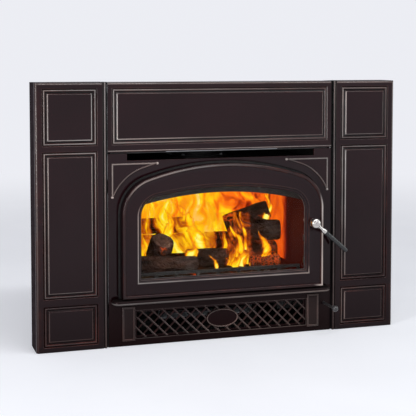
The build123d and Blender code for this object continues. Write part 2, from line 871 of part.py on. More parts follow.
def firebox_floor():
    """The firebox's bottom plate, with the ports for burning air."""
    low = firebox_floor_bottom
    floor = block(-firebox_half, firebox_half, seat_front, firebox_back, low, firebox_floor_top)
    for x, y in air_port_places():
        floor -= bar_z(air_port_radius, x, y, low, firebox_floor_top)
    return floor


def firebox_sides():
    """The firebox's side plates, each with holes where the air tubes pass."""
    side = block(firebox_inner_half, firebox_half, seat_back, firebox_back, firebox_floor_top, firebox_top)
    for y in tube_places():
        side -= bar_x(tube_radius, y, tube_height(), firebox_inner_half, firebox_half)
    return Compound(children=[mirrored(side), side])


def firebox_rear():
    """The firebox's back plate."""
    half = firebox_inner_half
    return block(-half, half, firebox_back - firebox_wall, firebox_back, firebox_floor_top, firebox_top)


def firebox_roof():
    """The firebox's top plate, with the flue opening."""
    low = firebox_top - firebox_wall
    half = firebox_inner_half
    roof = block(-half, half, seat_back, firebox_back - firebox_wall, low, firebox_top)
    roof -= bar_z(flue_radius + flue_wall / 2, 0, flue_centre_y, low, firebox_top)
    for x, y in flue_bolt_places():
        roof -= bar_z(bolt_radius, x, y, low, firebox_top)
    return roof


def flue_bolt_places():
    """The flue collar's four bolts."""
    reach = flue_bolt_circle / math.sqrt(2)
    return [(sx * reach, flue_centre_y + sy * reach) for sx in (-1, 1) for sy in (-1, 1)]


def flue_collar():
    """The cast flue collar, which passes up through the casing."""
    outer = flue_radius + flue_wall
    collar = bar_z(outer, 0, flue_centre_y, firebox_top, flue_top)
    collar += bar_z(flue_flange_radius, 0, flue_centre_y, firebox_top, firebox_top + flue_flange_thickness)
    collar -= bar_z(flue_radius, 0, flue_centre_y, firebox_top, flue_top)
    for x, y in flue_bolt_places():
        collar -= bar_z(bolt_radius, x, y, firebox_top, firebox_top + flue_flange_thickness)
    return collar


def flue_bolts():
    """The bolts that hold the flue collar down."""
    seat = firebox_top + flue_flange_thickness
    bolts = []
    for x, y in flue_bolt_places():
        head = extrude(Plane(origin=(x, y, seat)) * RegularPolygon(bolt_head_radius, 6), amount=bolt_head_height)
        bolts.append(head + bar_z(bolt_radius, x, y, firebox_top - firebox_wall, seat))
    return Compound(children=bolts)


def lintel():
    """The air-wash plate behind the top of the glass, with a flat arched lower edge."""
    half = firebox_inner_half - 2 * seal_clearance
    radius = (glass_half_width**2 + lintel_drop**2) / (2 * lintel_drop)
    low = lintel_crown - radius + math.sqrt(radius**2 - half**2)
    outline = frame_rectangle(-half, half, low, lintel_top)
    outline -= Pos(0, lintel_crown - radius) * Circle(radius)
    return slab(outline, seat_back, seat_back + lintel_thickness)


def row_of(count, low, high, joint):
    """The ends of count equal lengths between low and high, with a joint between neighbours."""
    length = (high - low - joint * (count - 1)) / count
    return [(low + i * (length + joint), low + i * (length + joint) + length) for i in range(count)]


def floor_bricks():
    """The firebrick floor, with the ports for burning air."""
    half = firebox_inner_half
    front = seat_back + brick_front_gap / 3
    bricks = []
    for x0, x1 in row_of(floor_brick_columns, -half, half, brick_joint):
        for y0, y1 in row_of(floor_brick_rows, front, firebox_back - firebox_wall, brick_joint):
            brick = block(x0, x1, y0, y1, firebox_floor_top, brick_floor_top)
            for x, y in air_port_places():
                if x0 < x < x1:
                    brick -= bar_z(air_port_radius, x, y, firebox_floor_top, brick_floor_top)
            bricks.append(brick)
    return Compound(children=bricks)


def side_bricks():
    """The firebricks along both sides."""
    outer = firebox_inner_half
    inner = outer - brick_thickness
    right = []
    for y0, y1 in row_of(floor_brick_rows, seat_back + brick_front_gap, firebox_back - firebox_wall, brick_joint):
        right.append(block(inner, outer, y0, y1, brick_floor_top, brick_top))
    return Compound(children=right + [mirrored(brick) for brick in right])


def rear_bricks():
    """The firebricks along the back."""
    half = hearth_half
    back = firebox_back - firebox_wall
    bricks = []
    for x0, x1 in row_of(floor_brick_columns, -half, half, brick_joint):
        bricks.append(block(x0, x1, back - brick_thickness, back, brick_floor_top, brick_top))
    return Compound(children=bricks)


def tube_height():
    """The height of the air tubes, just above the side bricks."""
    return brick_top + tube_radius + seal_clearance


def tube_places():
    """The Y of each air tube, evenly spaced under the baffle."""
    low = seat_back + baffle_front_gap + 2 * tube_radius
    high = firebox_back - firebox_wall - 4 * tube_radius
    step = (high - low) / (tube_count - 1)
    return [low + i * step for i in range(tube_count)]


def air_tubes():
    """Perforated tubes across the firebox that feed air to the flames."""
    tubes = []
    wall = tube_hole_radius
    count = int(firebox_inner_half / tube_hole_pitch)
    for y in tube_places():
        tube = bar_x(tube_radius, y, tube_height(), -firebox_half, firebox_half)
        tube -= bar_x(tube_radius - wall, y, tube_height(), -firebox_half, firebox_half)
        for i in range(-count, count + 1):
            hole = bar_y(tube_hole_radius, i * tube_hole_pitch, tube_height(), y - 2 * tube_radius, y)
            tube -= hole
        tubes.append(tube)
    return Compound(children=tubes)


def baffle():
    """The insulating board above the air tubes."""
    low = tube_height() + tube_radius
    half = firebox_inner_half - brick_joint
    front = seat_back + baffle_front_gap
    return block(-half, half, front, firebox_back - firebox_wall, low, low + baffle_thickness)


def ember_bed():
    """The bed of ash and embers under the logs."""
    half = hearth_half - ember_side_margin
    front = fence_back() + ember_end_margin
    back = firebox_back - firebox_wall - brick_thickness - ember_end_margin
    bed = block(-half, half, front, back, brick_floor_top, brick_floor_top + ember_height)
    return chamfer(bed.edges().group_by(Axis.Z)[-1], ember_slope)


def fence_back():
    """The back of the log fence."""
    return seat_back + brick_front_gap + fence_thickness


def log_fence():
    """The low cast fence that keeps the logs off the glass."""
    half = hearth_half - fence_margin
    front = seat_back + brick_front_gap
    back = fence_back()
    low = brick_floor_top
    high = low + fence_height
    fence = block(-half, half, front, back, high - fence_bar, high)
    fence += block(-half, half, front, back, low, low + fence_bar)
    for x0, x1 in row_of(fence_count, -half, half, (2 * half - fence_count * fence_bar) / (fence_count - 1)):
        fence += block(x0, x1, front, back, low, high)
    return fence


# Each log's two ends and its radius. An end's X is a share of the hearth's half width, its Y a share of the hearth's
# depth behind the fence, and its Z the height over the embers.
front_logs = [
    ((-0.871, 0.098, 35), (-0.216, 0.073, 27), 27),
    ((-0.599, 0.360, 22.3), (-0.557, 0.202, 99.3), 40),
    ((-0.251, 0.333, 32), (0.209, 0.270, 33), 32),
    ((0.418, 0.143, 22), (0.749, 0.098, 22), 22),
]
rear_logs = [
    ((0.230, 0.422, 36.1), (0.843, 0.473, 36.1), 36),
    ((0.321, 0.422, 107.1), (0.850, 0.328, 111.1), 35),
    ((-0.732, 0.749, 46.1), (0.749, 0.781, 46.1), 46),
    ((-0.662, 0.750, 119.2), (-0.105, 0.763, 119.2), 27),
    ((0.334, 0.686, 116.9), (0.808, 0.543, 168.9), 33),
]


def logs(places):
    """Round logs, each between its two ends."""
    ember_top = brick_floor_top + ember_height
    depth = firebox_back - firebox_wall - brick_thickness - fence_back()
    stack = []
    for (x0, y0, z0), (x1, y1, z1), radius in places:
        start = Vector(x0 * hearth_half, fence_back() + y0 * depth, ember_top + z0)
        along = Vector(x1 * hearth_half, fence_back() + y1 * depth, ember_top + z1) - start
        plane = Plane(origin=start, z_dir=along)
        stack.append(plane * Cylinder(radius, along.length, align=(Align.CENTER, Align.CENTER, Align.MIN)))
    return Compound(children=stack)


# ---------------------------------------------------------------- casing
def base_plate():
    """The plate that stands on the hearth."""
    return block(-casing_outer, casing_outer, seat_front, casing_back, 0, base_sheet)


def casing_sides():
    """The casing's side sheets, each with a foot behind the lower front."""
    inner = casing_half_width
    side = block(inner, casing_outer, seat_front, casing_back, base_sheet, casing_top)
    top = firebox_floor_bottom
    foot = block(inner - leg_width, inner, plate_back, plate_back + leg_thickness, base_sheet, top)
    foot -= bar_y(rod_radius + leg_thickness, rod_from_middle, rod_height, plate_back, plate_back + leg_thickness)
    x, z = lower_screw_places()[1]
    foot -= bar_y(bolt_radius + bolt_hole_clearance, x, z, plate_back, plate_back + leg_thickness)
    right = side + foot
    return Compound(children=[right, mirrored(right)])


def casing_rear():
    """The casing's back sheet."""
    inner = casing_half_width
    return block(-inner, inner, casing_back - casing_sheet, casing_back, base_sheet, casing_top)


def casing_lid():
    """The casing's top sheet, with the hole that the flue collar passes through."""
    lid = block(-casing_outer, casing_outer, seat_front, casing_back, casing_top, casing_top + casing_sheet)
    hole = flue_radius + flue_wall + collar_hole_clearance
    return lid - bar_z(hole, 0, flue_centre_y, casing_top, casing_top + casing_sheet)


def firebox_legs():
    """Two plates that carry the back of the firebox on the base plate."""
    outer = firebox_half
    top = firebox_floor_bottom
    leg = block(outer - leg_thickness, outer, firebox_back - leg_width * 3, firebox_back, base_sheet, top)
    return Compound(children=[leg, mirrored(leg)])


def top_angle():
    """The angle on the casing that carries the top panel."""
    back = middle_face + panel_wall
    half = middle_half / 2
    low = casing_top + casing_sheet
    upright = block(-half, half, back, back + strap_wall, top_panel_bottom + 1, top_panel_bottom + strap_height)
    foot = block(-half, half, seat_front, seat_front + strap_height, low, low + strap_wall)
    web = block(-half, half, back, seat_front + strap_wall, low, top_panel_bottom + strap_wall)
    return upright + foot + web


# ---------------------------------------------------------------- air control
def air_rod():
    """The air-control rod."""
    return bar_y(rod_radius, rod_from_middle, rod_height, side_face - rod_reach + knob_radius, rod_tail - rod_reach)


def air_knob():
    """The ball knob on the air-control rod."""
    centre_y = side_face - rod_reach
    ball = Pos(rod_from_middle, centre_y, rod_height) * Sphere(knob_radius)
    end = centre_y + knob_radius + knob_neck_length
    neck = bar_y(knob_neck_radius, rod_from_middle, rod_height, centre_y, end)
    return ball + neck - bar_y(rod_radius, rod_from_middle, rod_height, centre_y + knob_radius, end)


def air_box_right():
    """The X of the air box's outer wall."""
    return rod_from_middle - rod_radius - 2 * shutter_wall


def air_box_front():
    """The front of the air box: the shutter clears the window when the rod is pulled out."""
    return rod_tail - rod_reach - air_box_length - leg_thickness - slide_travel / 2


def air_port_places():
    """The ports through which the box feeds the firebox, along the foot of the right side bricks."""
    x = hearth_half - ember_side_margin / 2
    spacing = air_box_length / (air_port_count + 1)
    return [(x, air_box_front() + spacing * (i + 1)) for i in range(air_port_count)]


def air_box():
    """The box under the firebox floor that meters the burning air through a window in its side."""
    right = air_box_right()
    left = right - air_box_width
    front = air_box_front()
    back = front + air_box_length
    top = firebox_floor_bottom
    low = top - air_box_height
    wall = air_box_wall
    box = block(left, right, front, back, low, top)
    box -= block(left + wall, right - wall, front + wall, back - wall, low + wall, top - wall)
    for x, y in air_port_places():
        box -= bar_z(air_port_radius, x, y, top - wall, top)
    half = air_window_height / 2
    window_back = back - leg_thickness
    box -= block(
        right - wall, right, window_back - air_window_length, window_back, rod_height - half, rod_height + half
    )
    guide = block(
        right, casing_half_width - leg_thickness / 2, back - air_box_wall, back + leg_thickness - air_box_wall,
        low, top,
    )
    hole = bar_y(rod_radius + running_clearance, rod_from_middle, rod_height, back - wall, back + leg_thickness)
    return box + guide - hole


def air_shutter():
    """The plate on the rod that slides over the air box's window."""
    right = air_box_right()
    back = air_box_front() + air_box_length - leg_thickness - slide_travel
    half = shutter_height / 2
    front = back - shutter_length
    plate = block(
        right + seal_clearance, right + seal_clearance + shutter_wall, front, back, rod_height - half, rod_height + half
    )
    low = rod_height - rod_radius * 1.5
    high = rod_height + rod_radius * 1.5
    clamp = block(
        right + seal_clearance + shutter_wall, rod_from_middle + rod_radius * 1.5,
        front, front + shutter_length / 3, low, high,
    )
    return plate + clamp - bar_y(rod_radius, rod_from_middle, rod_height, front, back)


# ---------------------------------------------------------------- blower
def blower_axis():
    """The Y and Z of the rotor's axis."""
    return blower_from_wall + blower_length / 2, base_sheet + blower_height / 2


def blower_housing():
    """The blower's sheet housing, open to the grille in front and to the casing behind."""
    half = blower_width / 2
    sheet = blower_sheet
    y0 = blower_from_wall
    y1 = y0 + blower_length
    low = base_sheet
    high = low + blower_height
    body = block(-half, half, y0, y1, low, high)
    body -= block(-half + sheet, half - sheet, y0, y1, low + sheet, high - sheet)
    y, z = blower_axis()
    return body - bar_x(rotor_shaft_radius + running_clearance, y, z, -half, half)


def blower_rotor():
    """The cross-flow rotor: blades between two discs on a shaft."""
    half = blower_width / 2 - blower_sheet - rotor_end_gap
    y, z = blower_axis()
    rotor = bar_x(rotor_shaft_radius, y, z, -blower_width / 2 - motor_length / 3, blower_width / 2)
    for x in (-half, half - rotor_disc):
        rotor += bar_x(rotor_radius, y, z, x, x + rotor_disc)
    reach = rotor_radius - rotor_blade_depth / 2 - rotor_blade
    for i in range(rotor_blades):
        blade = Box(2 * half - rotor_disc, rotor_blade_depth, rotor_blade)
        rotor += Pos(0, y, z) * Rot(360 * i / rotor_blades, 0, 0) * Pos(0, reach, 0) * blade
    return rotor


def blower_motor():
    """The blower's motor on its foot."""
    y, z = blower_axis()
    near = -blower_width / 2
    far = near - motor_length
    motor = bar_x(motor_radius, y, z, far, near)
    motor = fillet(motor.edges().group_by(Axis.X)[0], motor_round)
    half = motor_foot_width / 2
    motor += block(far + motor_round, near, y - half, y + half, base_sheet, z)
    hole = bar_x(rotor_shaft_radius + running_clearance, y, z, near - motor_length / 3 - 1, near)
    return motor - hole


# ---------------------------------------------------------------- the parts
left_panel = side_panel()
parts = {
    "surround_left_panel": left_panel,
    "surround_right_panel": mirrored(left_panel),
    "surround_top_panel": top_panel(),
    "surround_bridges": bridges(),
    "surround_straps": side_straps(),
    "surround_bolts": surround_bolts(),
    "surround_top_angle": top_angle(),
    "front_plate": front_plate(),
    "lower_front": lower_front(),
    "grille": grille(),
    "grille_screws": grille_screws(),
    "ash_lip": ash_lip(),
    "front_bolts": front_bolts(),
    "door_frame": door_frame(),
    "door_glass": door_glass(),
    "glass_gasket": glass_gasket(),
    "glass_clips": glass_clips(),
    "clip_screws": clip_screws(),
    "door_gasket": door_gasket(),
    "hinge_lugs": hinge_lugs(),
    "hinge_pins": hinge_pins(),
    "lug_bolts": lug_bolts(),
    "latch_shaft": latch_shaft(),
    "latch_bushing": latch_bushing(),
    "latch_pawl": latch_pawl(),
    "latch_nut": latch_nut(),
    "handle_hub": handle_hub(),
    "handle_grip": handle_grip(),
    "door_seat": door_seat(),
    "firebox_floor": firebox_floor(),
    "firebox_sides": firebox_sides(),
    "firebox_rear": firebox_rear(),
    "firebox_roof": firebox_roof(),
    "firebox_legs": firebox_legs(),
    "flue_collar": flue_collar(),
    "flue_bolts": flue_bolts(),
    "air_wash_lintel": lintel(),
    "floor_bricks": floor_bricks(),
    "side_bricks": side_bricks(),
    "rear_bricks": rear_bricks(),
    "air_tubes": air_tubes(),
    "baffle_board": baffle(),
    "ember_bed": ember_bed(),
    "log_fence": log_fence(),
    "logs_front": logs(front_logs),
    "logs_rear": logs(rear_logs),
    "base_plate": base_plate(),
    "casing_sides": casing_sides(),
    "casing_rear": casing_rear(),
    "casing_lid": casing_lid(),
    "air_rod": air_rod(),
    "air_knob": air_knob(),
    "air_shutter": air_shutter(),
    "air_box": air_box(),
    "blower_housing": blower_housing(),
    "blower_rotor": blower_rotor(),
    "blower_motor": blower_motor(),
}

os.makedirs("parts", exist_ok=True)
for name, part in parts.items():
    export_step(part, f"parts/{name}.step")
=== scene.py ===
# %% [markdown]
# # A cast-iron fireplace insert
# A wood-burning insert: an enamelled cast surround, a door with an arched pane, a lattice grille, and a
# firebox with a fire in it. The plain solids come in as a fixed frame, and every piece made here goes exactly
# where the frame says. The frame is loaded first, because nothing else has a place without it.

# %% Load the plain solids
import json
import math

import bmesh
import bpy
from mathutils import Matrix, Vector, noise


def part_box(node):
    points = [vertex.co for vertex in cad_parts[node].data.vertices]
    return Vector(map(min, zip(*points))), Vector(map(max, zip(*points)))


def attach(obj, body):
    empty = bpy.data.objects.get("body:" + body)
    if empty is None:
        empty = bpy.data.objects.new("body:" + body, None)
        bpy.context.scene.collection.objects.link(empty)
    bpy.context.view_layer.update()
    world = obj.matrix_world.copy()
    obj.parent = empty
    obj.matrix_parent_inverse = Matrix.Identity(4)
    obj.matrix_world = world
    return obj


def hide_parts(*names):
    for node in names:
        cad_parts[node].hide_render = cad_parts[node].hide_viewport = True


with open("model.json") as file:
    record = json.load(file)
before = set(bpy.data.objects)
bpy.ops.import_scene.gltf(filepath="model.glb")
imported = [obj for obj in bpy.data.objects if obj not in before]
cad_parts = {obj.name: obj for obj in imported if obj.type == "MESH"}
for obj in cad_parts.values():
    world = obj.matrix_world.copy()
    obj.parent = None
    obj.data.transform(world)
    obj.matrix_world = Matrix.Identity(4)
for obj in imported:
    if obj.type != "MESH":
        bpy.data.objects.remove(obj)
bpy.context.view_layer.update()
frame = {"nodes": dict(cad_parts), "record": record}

# %% [markdown]
# ## A workbench for cast pieces
# Castings are skins: an outline on one level is joined to the same outline on the next, and the list of
# levels is the profile that a pattern maker would file. Modifiers could extrude the same shape, but lists of
# outlines keep every radius under control. Sizes are in millimetres, as on a drawing, and become metres when
# a piece is made. Each point carries two marks for the finish: "thin" where the enamel draws back and shows
# red, or below zero for painted shade that darkens hollows and channels, and a second mark for painted
# highlights along the ridges.

# %% Skins between outlines
class Casting:
    """Collects the skins of one piece, in millimetres."""

    def __init__(self):
        self.points, self.marks, self.faces = [], [], []

    def line(self, points, thin=0.0, painted_highlight=0.0):
        """Adds one outline and returns the numbers of its points."""
        first = len(self.points)
        self.points += [tuple(p) for p in points]
        self.marks += [(thin, painted_highlight)] * len(points)
        return list(range(first, len(self.points)))

    def lines(self, outline, profile):
        """One outline for each (inset, depth, thin, painted highlight) of a profile; marks left out are zero.
        """
        return [self.line(outline(inset, deep), *marks) for inset, deep, *marks in profile]

    def cap(self, line):
        """Closes an outline with one face."""
        self.faces.append(tuple(line))

    def skin(self, lines, closed=True, capped=False):
        """Joins neighbouring outlines with quads, and caps the outer two if wanted."""
        for low, high in zip(lines, lines[1:]):
            count = len(low)
            for i in range(count if closed else count - 1):
                j = (i + 1) % count
                self.cap((low[i], low[j], high[j], high[i]))
        if capped:
            self.cap(lines[0])
            self.cap(lines[-1])

    def fan(self, line, point, thin, painted_highlight=0.0):
        """Closes an outline with triangles that meet in a point."""
        tip = self.line([point], thin, painted_highlight)[0]
        for a, b in zip(line, line[1:] + line[:1]):
            self.cap((a, b, tip))


print("a casting keeps", list(vars(Casting())))


# %% From a skin to a piece
MM = 0.001
# A thin mark below zero paints shade: near black, as in hollows where light doesn't reach.
PAINTED_SHADE = -1.0


def mesh_of(build, name, crease=None):
    """A smooth mesh, sharp where its faces turn by more than the crease angle."""
    mesh = bpy.data.meshes.new(name)
    build.to_mesh(mesh)
    build.free()
    mesh.shade_smooth()
    if crease:
        mesh.set_sharp_from_angle(angle=math.radians(crease))
    return mesh


def dress(name, mesh, finish, body="root", stands_for=()):
    """Makes an object with its finish, body and slot, in place of the solids that it stands for."""
    piece = bpy.data.objects.new(name, mesh)
    bpy.context.scene.collection.objects.link(piece)
    mesh.materials.append(finish)
    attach(piece, body)
    if stands_for:
        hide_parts(*stands_for)
    print(f"{name}: {len(mesh.polygons)} faces")


def make_piece(name, work, finish, body="root", stands_for=(), crease=32):
    """Turns a casting into a dressed piece."""
    build = bmesh.new()
    layers = [build.verts.layers.float.new(mark) for mark in ("thin", "painted_highlight")]
    verts = []
    for (x, y, z), marks in zip(work.points, work.marks):
        verts.append(build.verts.new((x * MM, y * MM, z * MM)))
        for layer, mark in zip(layers, marks):
            verts[-1][layer] = mark
    for face in work.faces:
        build.faces.new([verts[i] for i in face])
    bmesh.ops.remove_doubles(build, verts=build.verts, dist=2e-6)
    bmesh.ops.dissolve_degenerate(build, edges=build.edges, dist=1e-6)
    bmesh.ops.recalc_face_normals(build, faces=build.faces)
    dress(name, mesh_of(build, name, crease), finish, body, stands_for)


# %% [markdown]
# ## A bench for finishes
# Every finish is a small graph of procedural nodes over one Principled shader. Object coordinates are used
# throughout: the pieces share one origin, so the grain of a casting runs on from piece to piece at its real
# size in metres. Numbers that are the same all over a finish are typed on the shader itself.

# %% Node helpers
def new_finish(name, **shader_values):
    """A node material with a Principled shader, and the values that are the same all over it."""
    material = bpy.data.materials.new(name)
    material.use_nodes = True
    shader = material.node_tree.nodes["Principled BSDF"]
    for key, value in shader_values.items():
        shader.inputs[key.replace("_", " ")].default_value = value
    return material, material.node_tree, shader


def add(tree, kind, inputs=(), **settings):
    """Adds a node; inputs maps its sockets to values or to other nodes' outputs."""
    node = tree.nodes.new("ShaderNode" + kind)
    for key, value in settings.items():
        setattr(node, key, value)
    for key, value in dict(inputs).items():
        if isinstance(value, bpy.types.NodeSocket):
            tree.links.new(value, node.inputs[key])
        else:
            node.inputs[key].default_value = value
    return node


def feed(shader, **sockets):
    """Links nodes' outputs to a shader's sockets."""
    for key, value in sockets.items():
        shader.id_data.links.new(value, shader.inputs[key.replace("_", " ")])


print("node helpers:", [helper.__name__ for helper in (new_finish, add, feed)])


# %% Grain, tones and bumps
def place(tree, stretch=(1, 1, 1)):
    """Object coordinates, stretched along the axes."""
    at = add(tree, "TexCoord").outputs["Object"]
    return add(tree, "Mapping", {"Vector": at, "Scale": stretch}).outputs["Vector"]


def grain(tree, scale, detail, stretch=(1, 1, 1)):
    """Cloudy grain over object coordinates; scale is in features to the metre."""
    inputs = {"Vector": place(tree, stretch), "Scale": scale, "Detail": detail}
    return add(tree, "TexNoise", inputs).outputs["Fac"]


def ramp(tree, value, *stops):
    """Tones along a value: each stop is a position and a colour or a grey."""
    node = add(tree, "ValToRGB", {"Fac": value})
    band = node.color_ramp
    while len(band.elements) < len(stops):
        band.elements.new(1.0)
    for element, (position, tone) in zip(band.elements, stops):
        element.position = position
        element.color = (*tone, 1.0) if isinstance(tone, tuple) else (tone, tone, tone, 1.0)
    return node.outputs["Color"]


def cloud(tree, scale, detail, first, second, start=0.3, stop=0.7, stretch=(1, 1, 1)):
    """Two tones, mixed by a grain."""
    return ramp(tree, grain(tree, scale, detail, stretch), (start, first), (stop, second))


def blend(tree, factor, first, second):
    """Mixes two colours."""
    return add(tree, "Mix", {0: factor, 6: first, 7: second}, data_type="RGBA").outputs[2]


def combine(tree, operation, a, b):
    """Multiplies, adds or compares two values."""
    return add(tree, "Math", {0: a, 1: b}, operation=operation).outputs[0]


def mapped(tree, value, start=0.0, stop=1.0, low=0.0, high=1.0, kind="LINEAR"):
    """Moves a value from start..stop to low..high, held at both ends."""
    limits = {"Value": value, "From Min": start, "From Max": stop, "To Min": low, "To Max": high}
    return add(tree, "MapRange", limits, interpolation_type=kind).outputs[0]


def point_mark(tree, name):
    """A mark that the points of a mesh carry."""
    return add(tree, "Attribute", attribute_name=name).outputs["Fac"]


def bump(tree, shader, *layers):
    """Stacks bump layers of (height, distance in metres) on a shader."""
    below = {}
    for height, distance in layers:
        node = add(tree, "Bump", {"Height": height, "Distance": distance, "Strength": 1.0, **below})
        below = {"Normal": node.outputs["Normal"]}
    feed(shader, **below)


print("pattern helpers:", [helper.__name__ for helper in (grain, ramp, cloud, blend, combine, bump)])


# %% [markdown]
# ## Majolica brown enamel
# The surround is cast iron under a dark brown glass enamel. It shows a warm red where it draws thin on the
# slopes of a moulding. Its colour is darkened towards the foot and near black in the channels the castings
# mark, which is painted shade, and paler along the crests, which is a painted highlight. A faint ripple from
# the firing makes long highlights waver. So the base mixes two browns, the marks of the castings bring in
# red, painted shade and painted highlights, two bump layers give ripple and grain, and near the floor a tint
# on the reflections darkens and warms them, as painted shade that stands for dark, warm surroundings.

# %% Enamel
# The second colour is the near black of painted shade in hollows and channels.
WHITE, SHADE_BLACK = (1.0, 1.0, 1.0, 1.0), (0.0010, 0.0004, 0.0005, 1.0)


def enamel_finish(name, foot_reflection_shade):
    """Dark brown glass enamel over cast iron, with painted shade and painted highlights; the second argument
    tints its reflections darker near the floor, as painted shade.
    """
    material, tree, shader = new_finish(name, IOR=1.5, Specular_IOR_Level=0.26)
    height_at = add(tree, "SeparateXYZ", {0: place(tree)}).outputs["Z"]
    high = mapped(tree, height_at, 0.02, 0.5)
    body = cloud(tree, 7.0, 4.0, (0.0095, 0.0014, 0.0026), (0.0135, 0.0024, 0.0040))
    # Painted shade: the colour darkens towards the floor.
    body = blend(tree, high, (0.0030, 0.0008, 0.0010, 1.0), body)
    patches = cloud(tree, 11.0, 3.0, 0.1, 1.0, 0.36, 0.64)
    warm = cloud(tree, 60.0, 2.0, (0.030, 0.006, 0.004), (0.070, 0.015, 0.010))
    thin = point_mark(tree, "thin")
    # Points marked below zero get painted shade: near black and rough.
    shade_mask = mapped(tree, thin, PAINTED_SHADE, 0.0, 1.0, 0.0)
    tone = blend(tree, combine(tree, "MULTIPLY", thin, patches), body, warm)
    tone = blend(tree, shade_mask, tone, SHADE_BLACK)
    # Points marked on the crests get a painted highlight in a pale colour, in patches.
    highlight_amount = combine(tree, "MULTIPLY", point_mark(tree, "painted_highlight"), cloud(tree, 5.0, 3.0, 0.5, 1.0, 0.36, 0.6))
    pale = cloud(tree, 3.0, 2.0, (0.44, 0.41, 0.39), (0.50, 0.41, 0.37), 0.4, 0.6)
    rough = blend(tree, shade_mask, cloud(tree, 30.0, 4.0, 0.10, 0.18, 0.25, 0.8), (0.75, 0.75, 0.75, 1.0))
    # Painted shade on the reflections: they turn darker and warmer near the floor.
    reflection_shade = blend(tree, high, foot_reflection_shade, WHITE)
    feed(shader, Base_Color=blend(tree, highlight_amount, tone, pale), Roughness=rough, Specular_Tint=reflection_shade)
    bump(tree, shader, (grain(tree, 20.0, 2.0), 0.0004), (grain(tree, 420.0, 3.0), 0.00003))
    return material


enamel = enamel_finish("brown_enamel", (0.80, 0.60, 0.63, 1.0))
# The lower castings get a darker, redder painted shade on their reflections near the floor.
low_shaded_enamel = enamel_finish("low_shaded_enamel", (0.44, 0.23, 0.23, 1.0))
print("enamel nodes:", len(enamel.node_tree.nodes))

# %% [markdown]
# ## Bright and dark metals
# The hub of the handle is nickel plate, brackets and bolts are zinc plate, and the rest is turned, blued or
# rolled. One recipe serves them all: roughness and colour drift with the grain, and a bump has the scale of
# the tool marks. A stretch along one axis turns the same grain into brushing or drawing lines.

# %% Metals
def metal_finish(name, dark, light, rough, scale, stretch=(1, 1, 1)):
    """A metal with drifting colour and roughness."""
    material, tree, shader = new_finish(name, Metallic=1.0)
    tone = cloud(tree, scale, 4.0, dark, light, stretch=stretch)
    feed(shader, Base_Color=tone, Roughness=cloud(tree, scale * 2.3, 5.0, *rough, 0.3, 0.72, stretch))
    bump(tree, shader, (grain(tree, scale * 9, 3.0, stretch), 0.00005))
    return material


nickel = metal_finish("nickel_plate", (0.44, 0.41, 0.39), (0.66, 0.63, 0.60), (0.10, 0.24), 90.0)
zinc = metal_finish("zinc_plate", (0.34, 0.35, 0.36), (0.52, 0.52, 0.53), (0.3, 0.5), 45.0)
bolt_zinc = metal_finish("bolt_zinc", (0.25, 0.25, 0.26), (0.42, 0.42, 0.42), (0.34, 0.55), 160.0)
turned_steel = metal_finish(
    "turned_steel", (0.24, 0.24, 0.25), (0.40, 0.40, 0.41), (0.25, 0.45), 120.0, (1, 9, 1))
tube_steel = metal_finish(
    "heat_blued_tube", (0.13, 0.12, 0.14), (0.32, 0.27, 0.23), (0.4, 0.62), 30.0, (0.3, 1, 1))
rotor_metal = metal_finish(
    "rolled_aluminium", (0.52, 0.53, 0.54), (0.68, 0.69, 0.70), (0.28, 0.46), 40.0, (0.15, 1, 1))
print("metals:", [m.name for m in (nickel, zinc, bolt_zinc, turned_steel, tube_steel, rotor_metal)])

# %% [markdown]
# ## Paints, bricks, rope and board
# The rest is plain: stove paint on iron, black paint on the casing, dark firebricks, a rope of glass fibre, a
# fibre board, a black grip and a grey knob, and a matt black without reflection on the surround's returns,
# which is painted shade. Each is a rough shader, and what tells them apart is the size and contrast of their
# grain. Soot is a second colour that is laid over with a slow cloud, and the bricks carry a faint red
# emission, a painted glow that stands for the fire's light on them.

# %% Dull finishes
SPREAD = 0.12


def dull_finish(name, dark, light, rough, scale, dent, soot=0.0, **shader_values):
    """A rough material with two tones, a bump and, if wanted, clouds of soot."""
    material, tree, shader = new_finish(name, **shader_values)
    tone = cloud(tree, scale, 6.0, dark, light)
    if soot:
        tone = blend(tree, cloud(tree, 5.0, 4.0, 0.1, soot, 0.38, 0.62), tone, (0.012, 0.008, 0.007, 1.0))
    roughness = cloud(tree, scale * 1.7, 4.0, rough - SPREAD, min(1.0, rough + SPREAD))
    feed(shader, Base_Color=tone, Roughness=roughness)
    bump(tree, shader, (grain(tree, scale * 3, 5.0), dent))
    return material


stove_paint = dull_finish("stove_paint", (0.022, 0.021, 0.021), (0.040, 0.037, 0.035), 0.62, 90.0, 0.0002)
# The returns' matt black without reflection is painted shade for the dark surroundings they would mirror.
return_shade_paint = dull_finish(
    "return_shade_black", (0.020, 0.0155, 0.0175), (0.040, 0.031, 0.035), 0.95, 60.0, 0.0002,
    Specular_IOR_Level=0.0)
box_paint = dull_finish(
    "firebox_paint", (0.030, 0.026, 0.024), (0.060, 0.048, 0.041), 0.75, 25.0, 0.0003, 0.8)
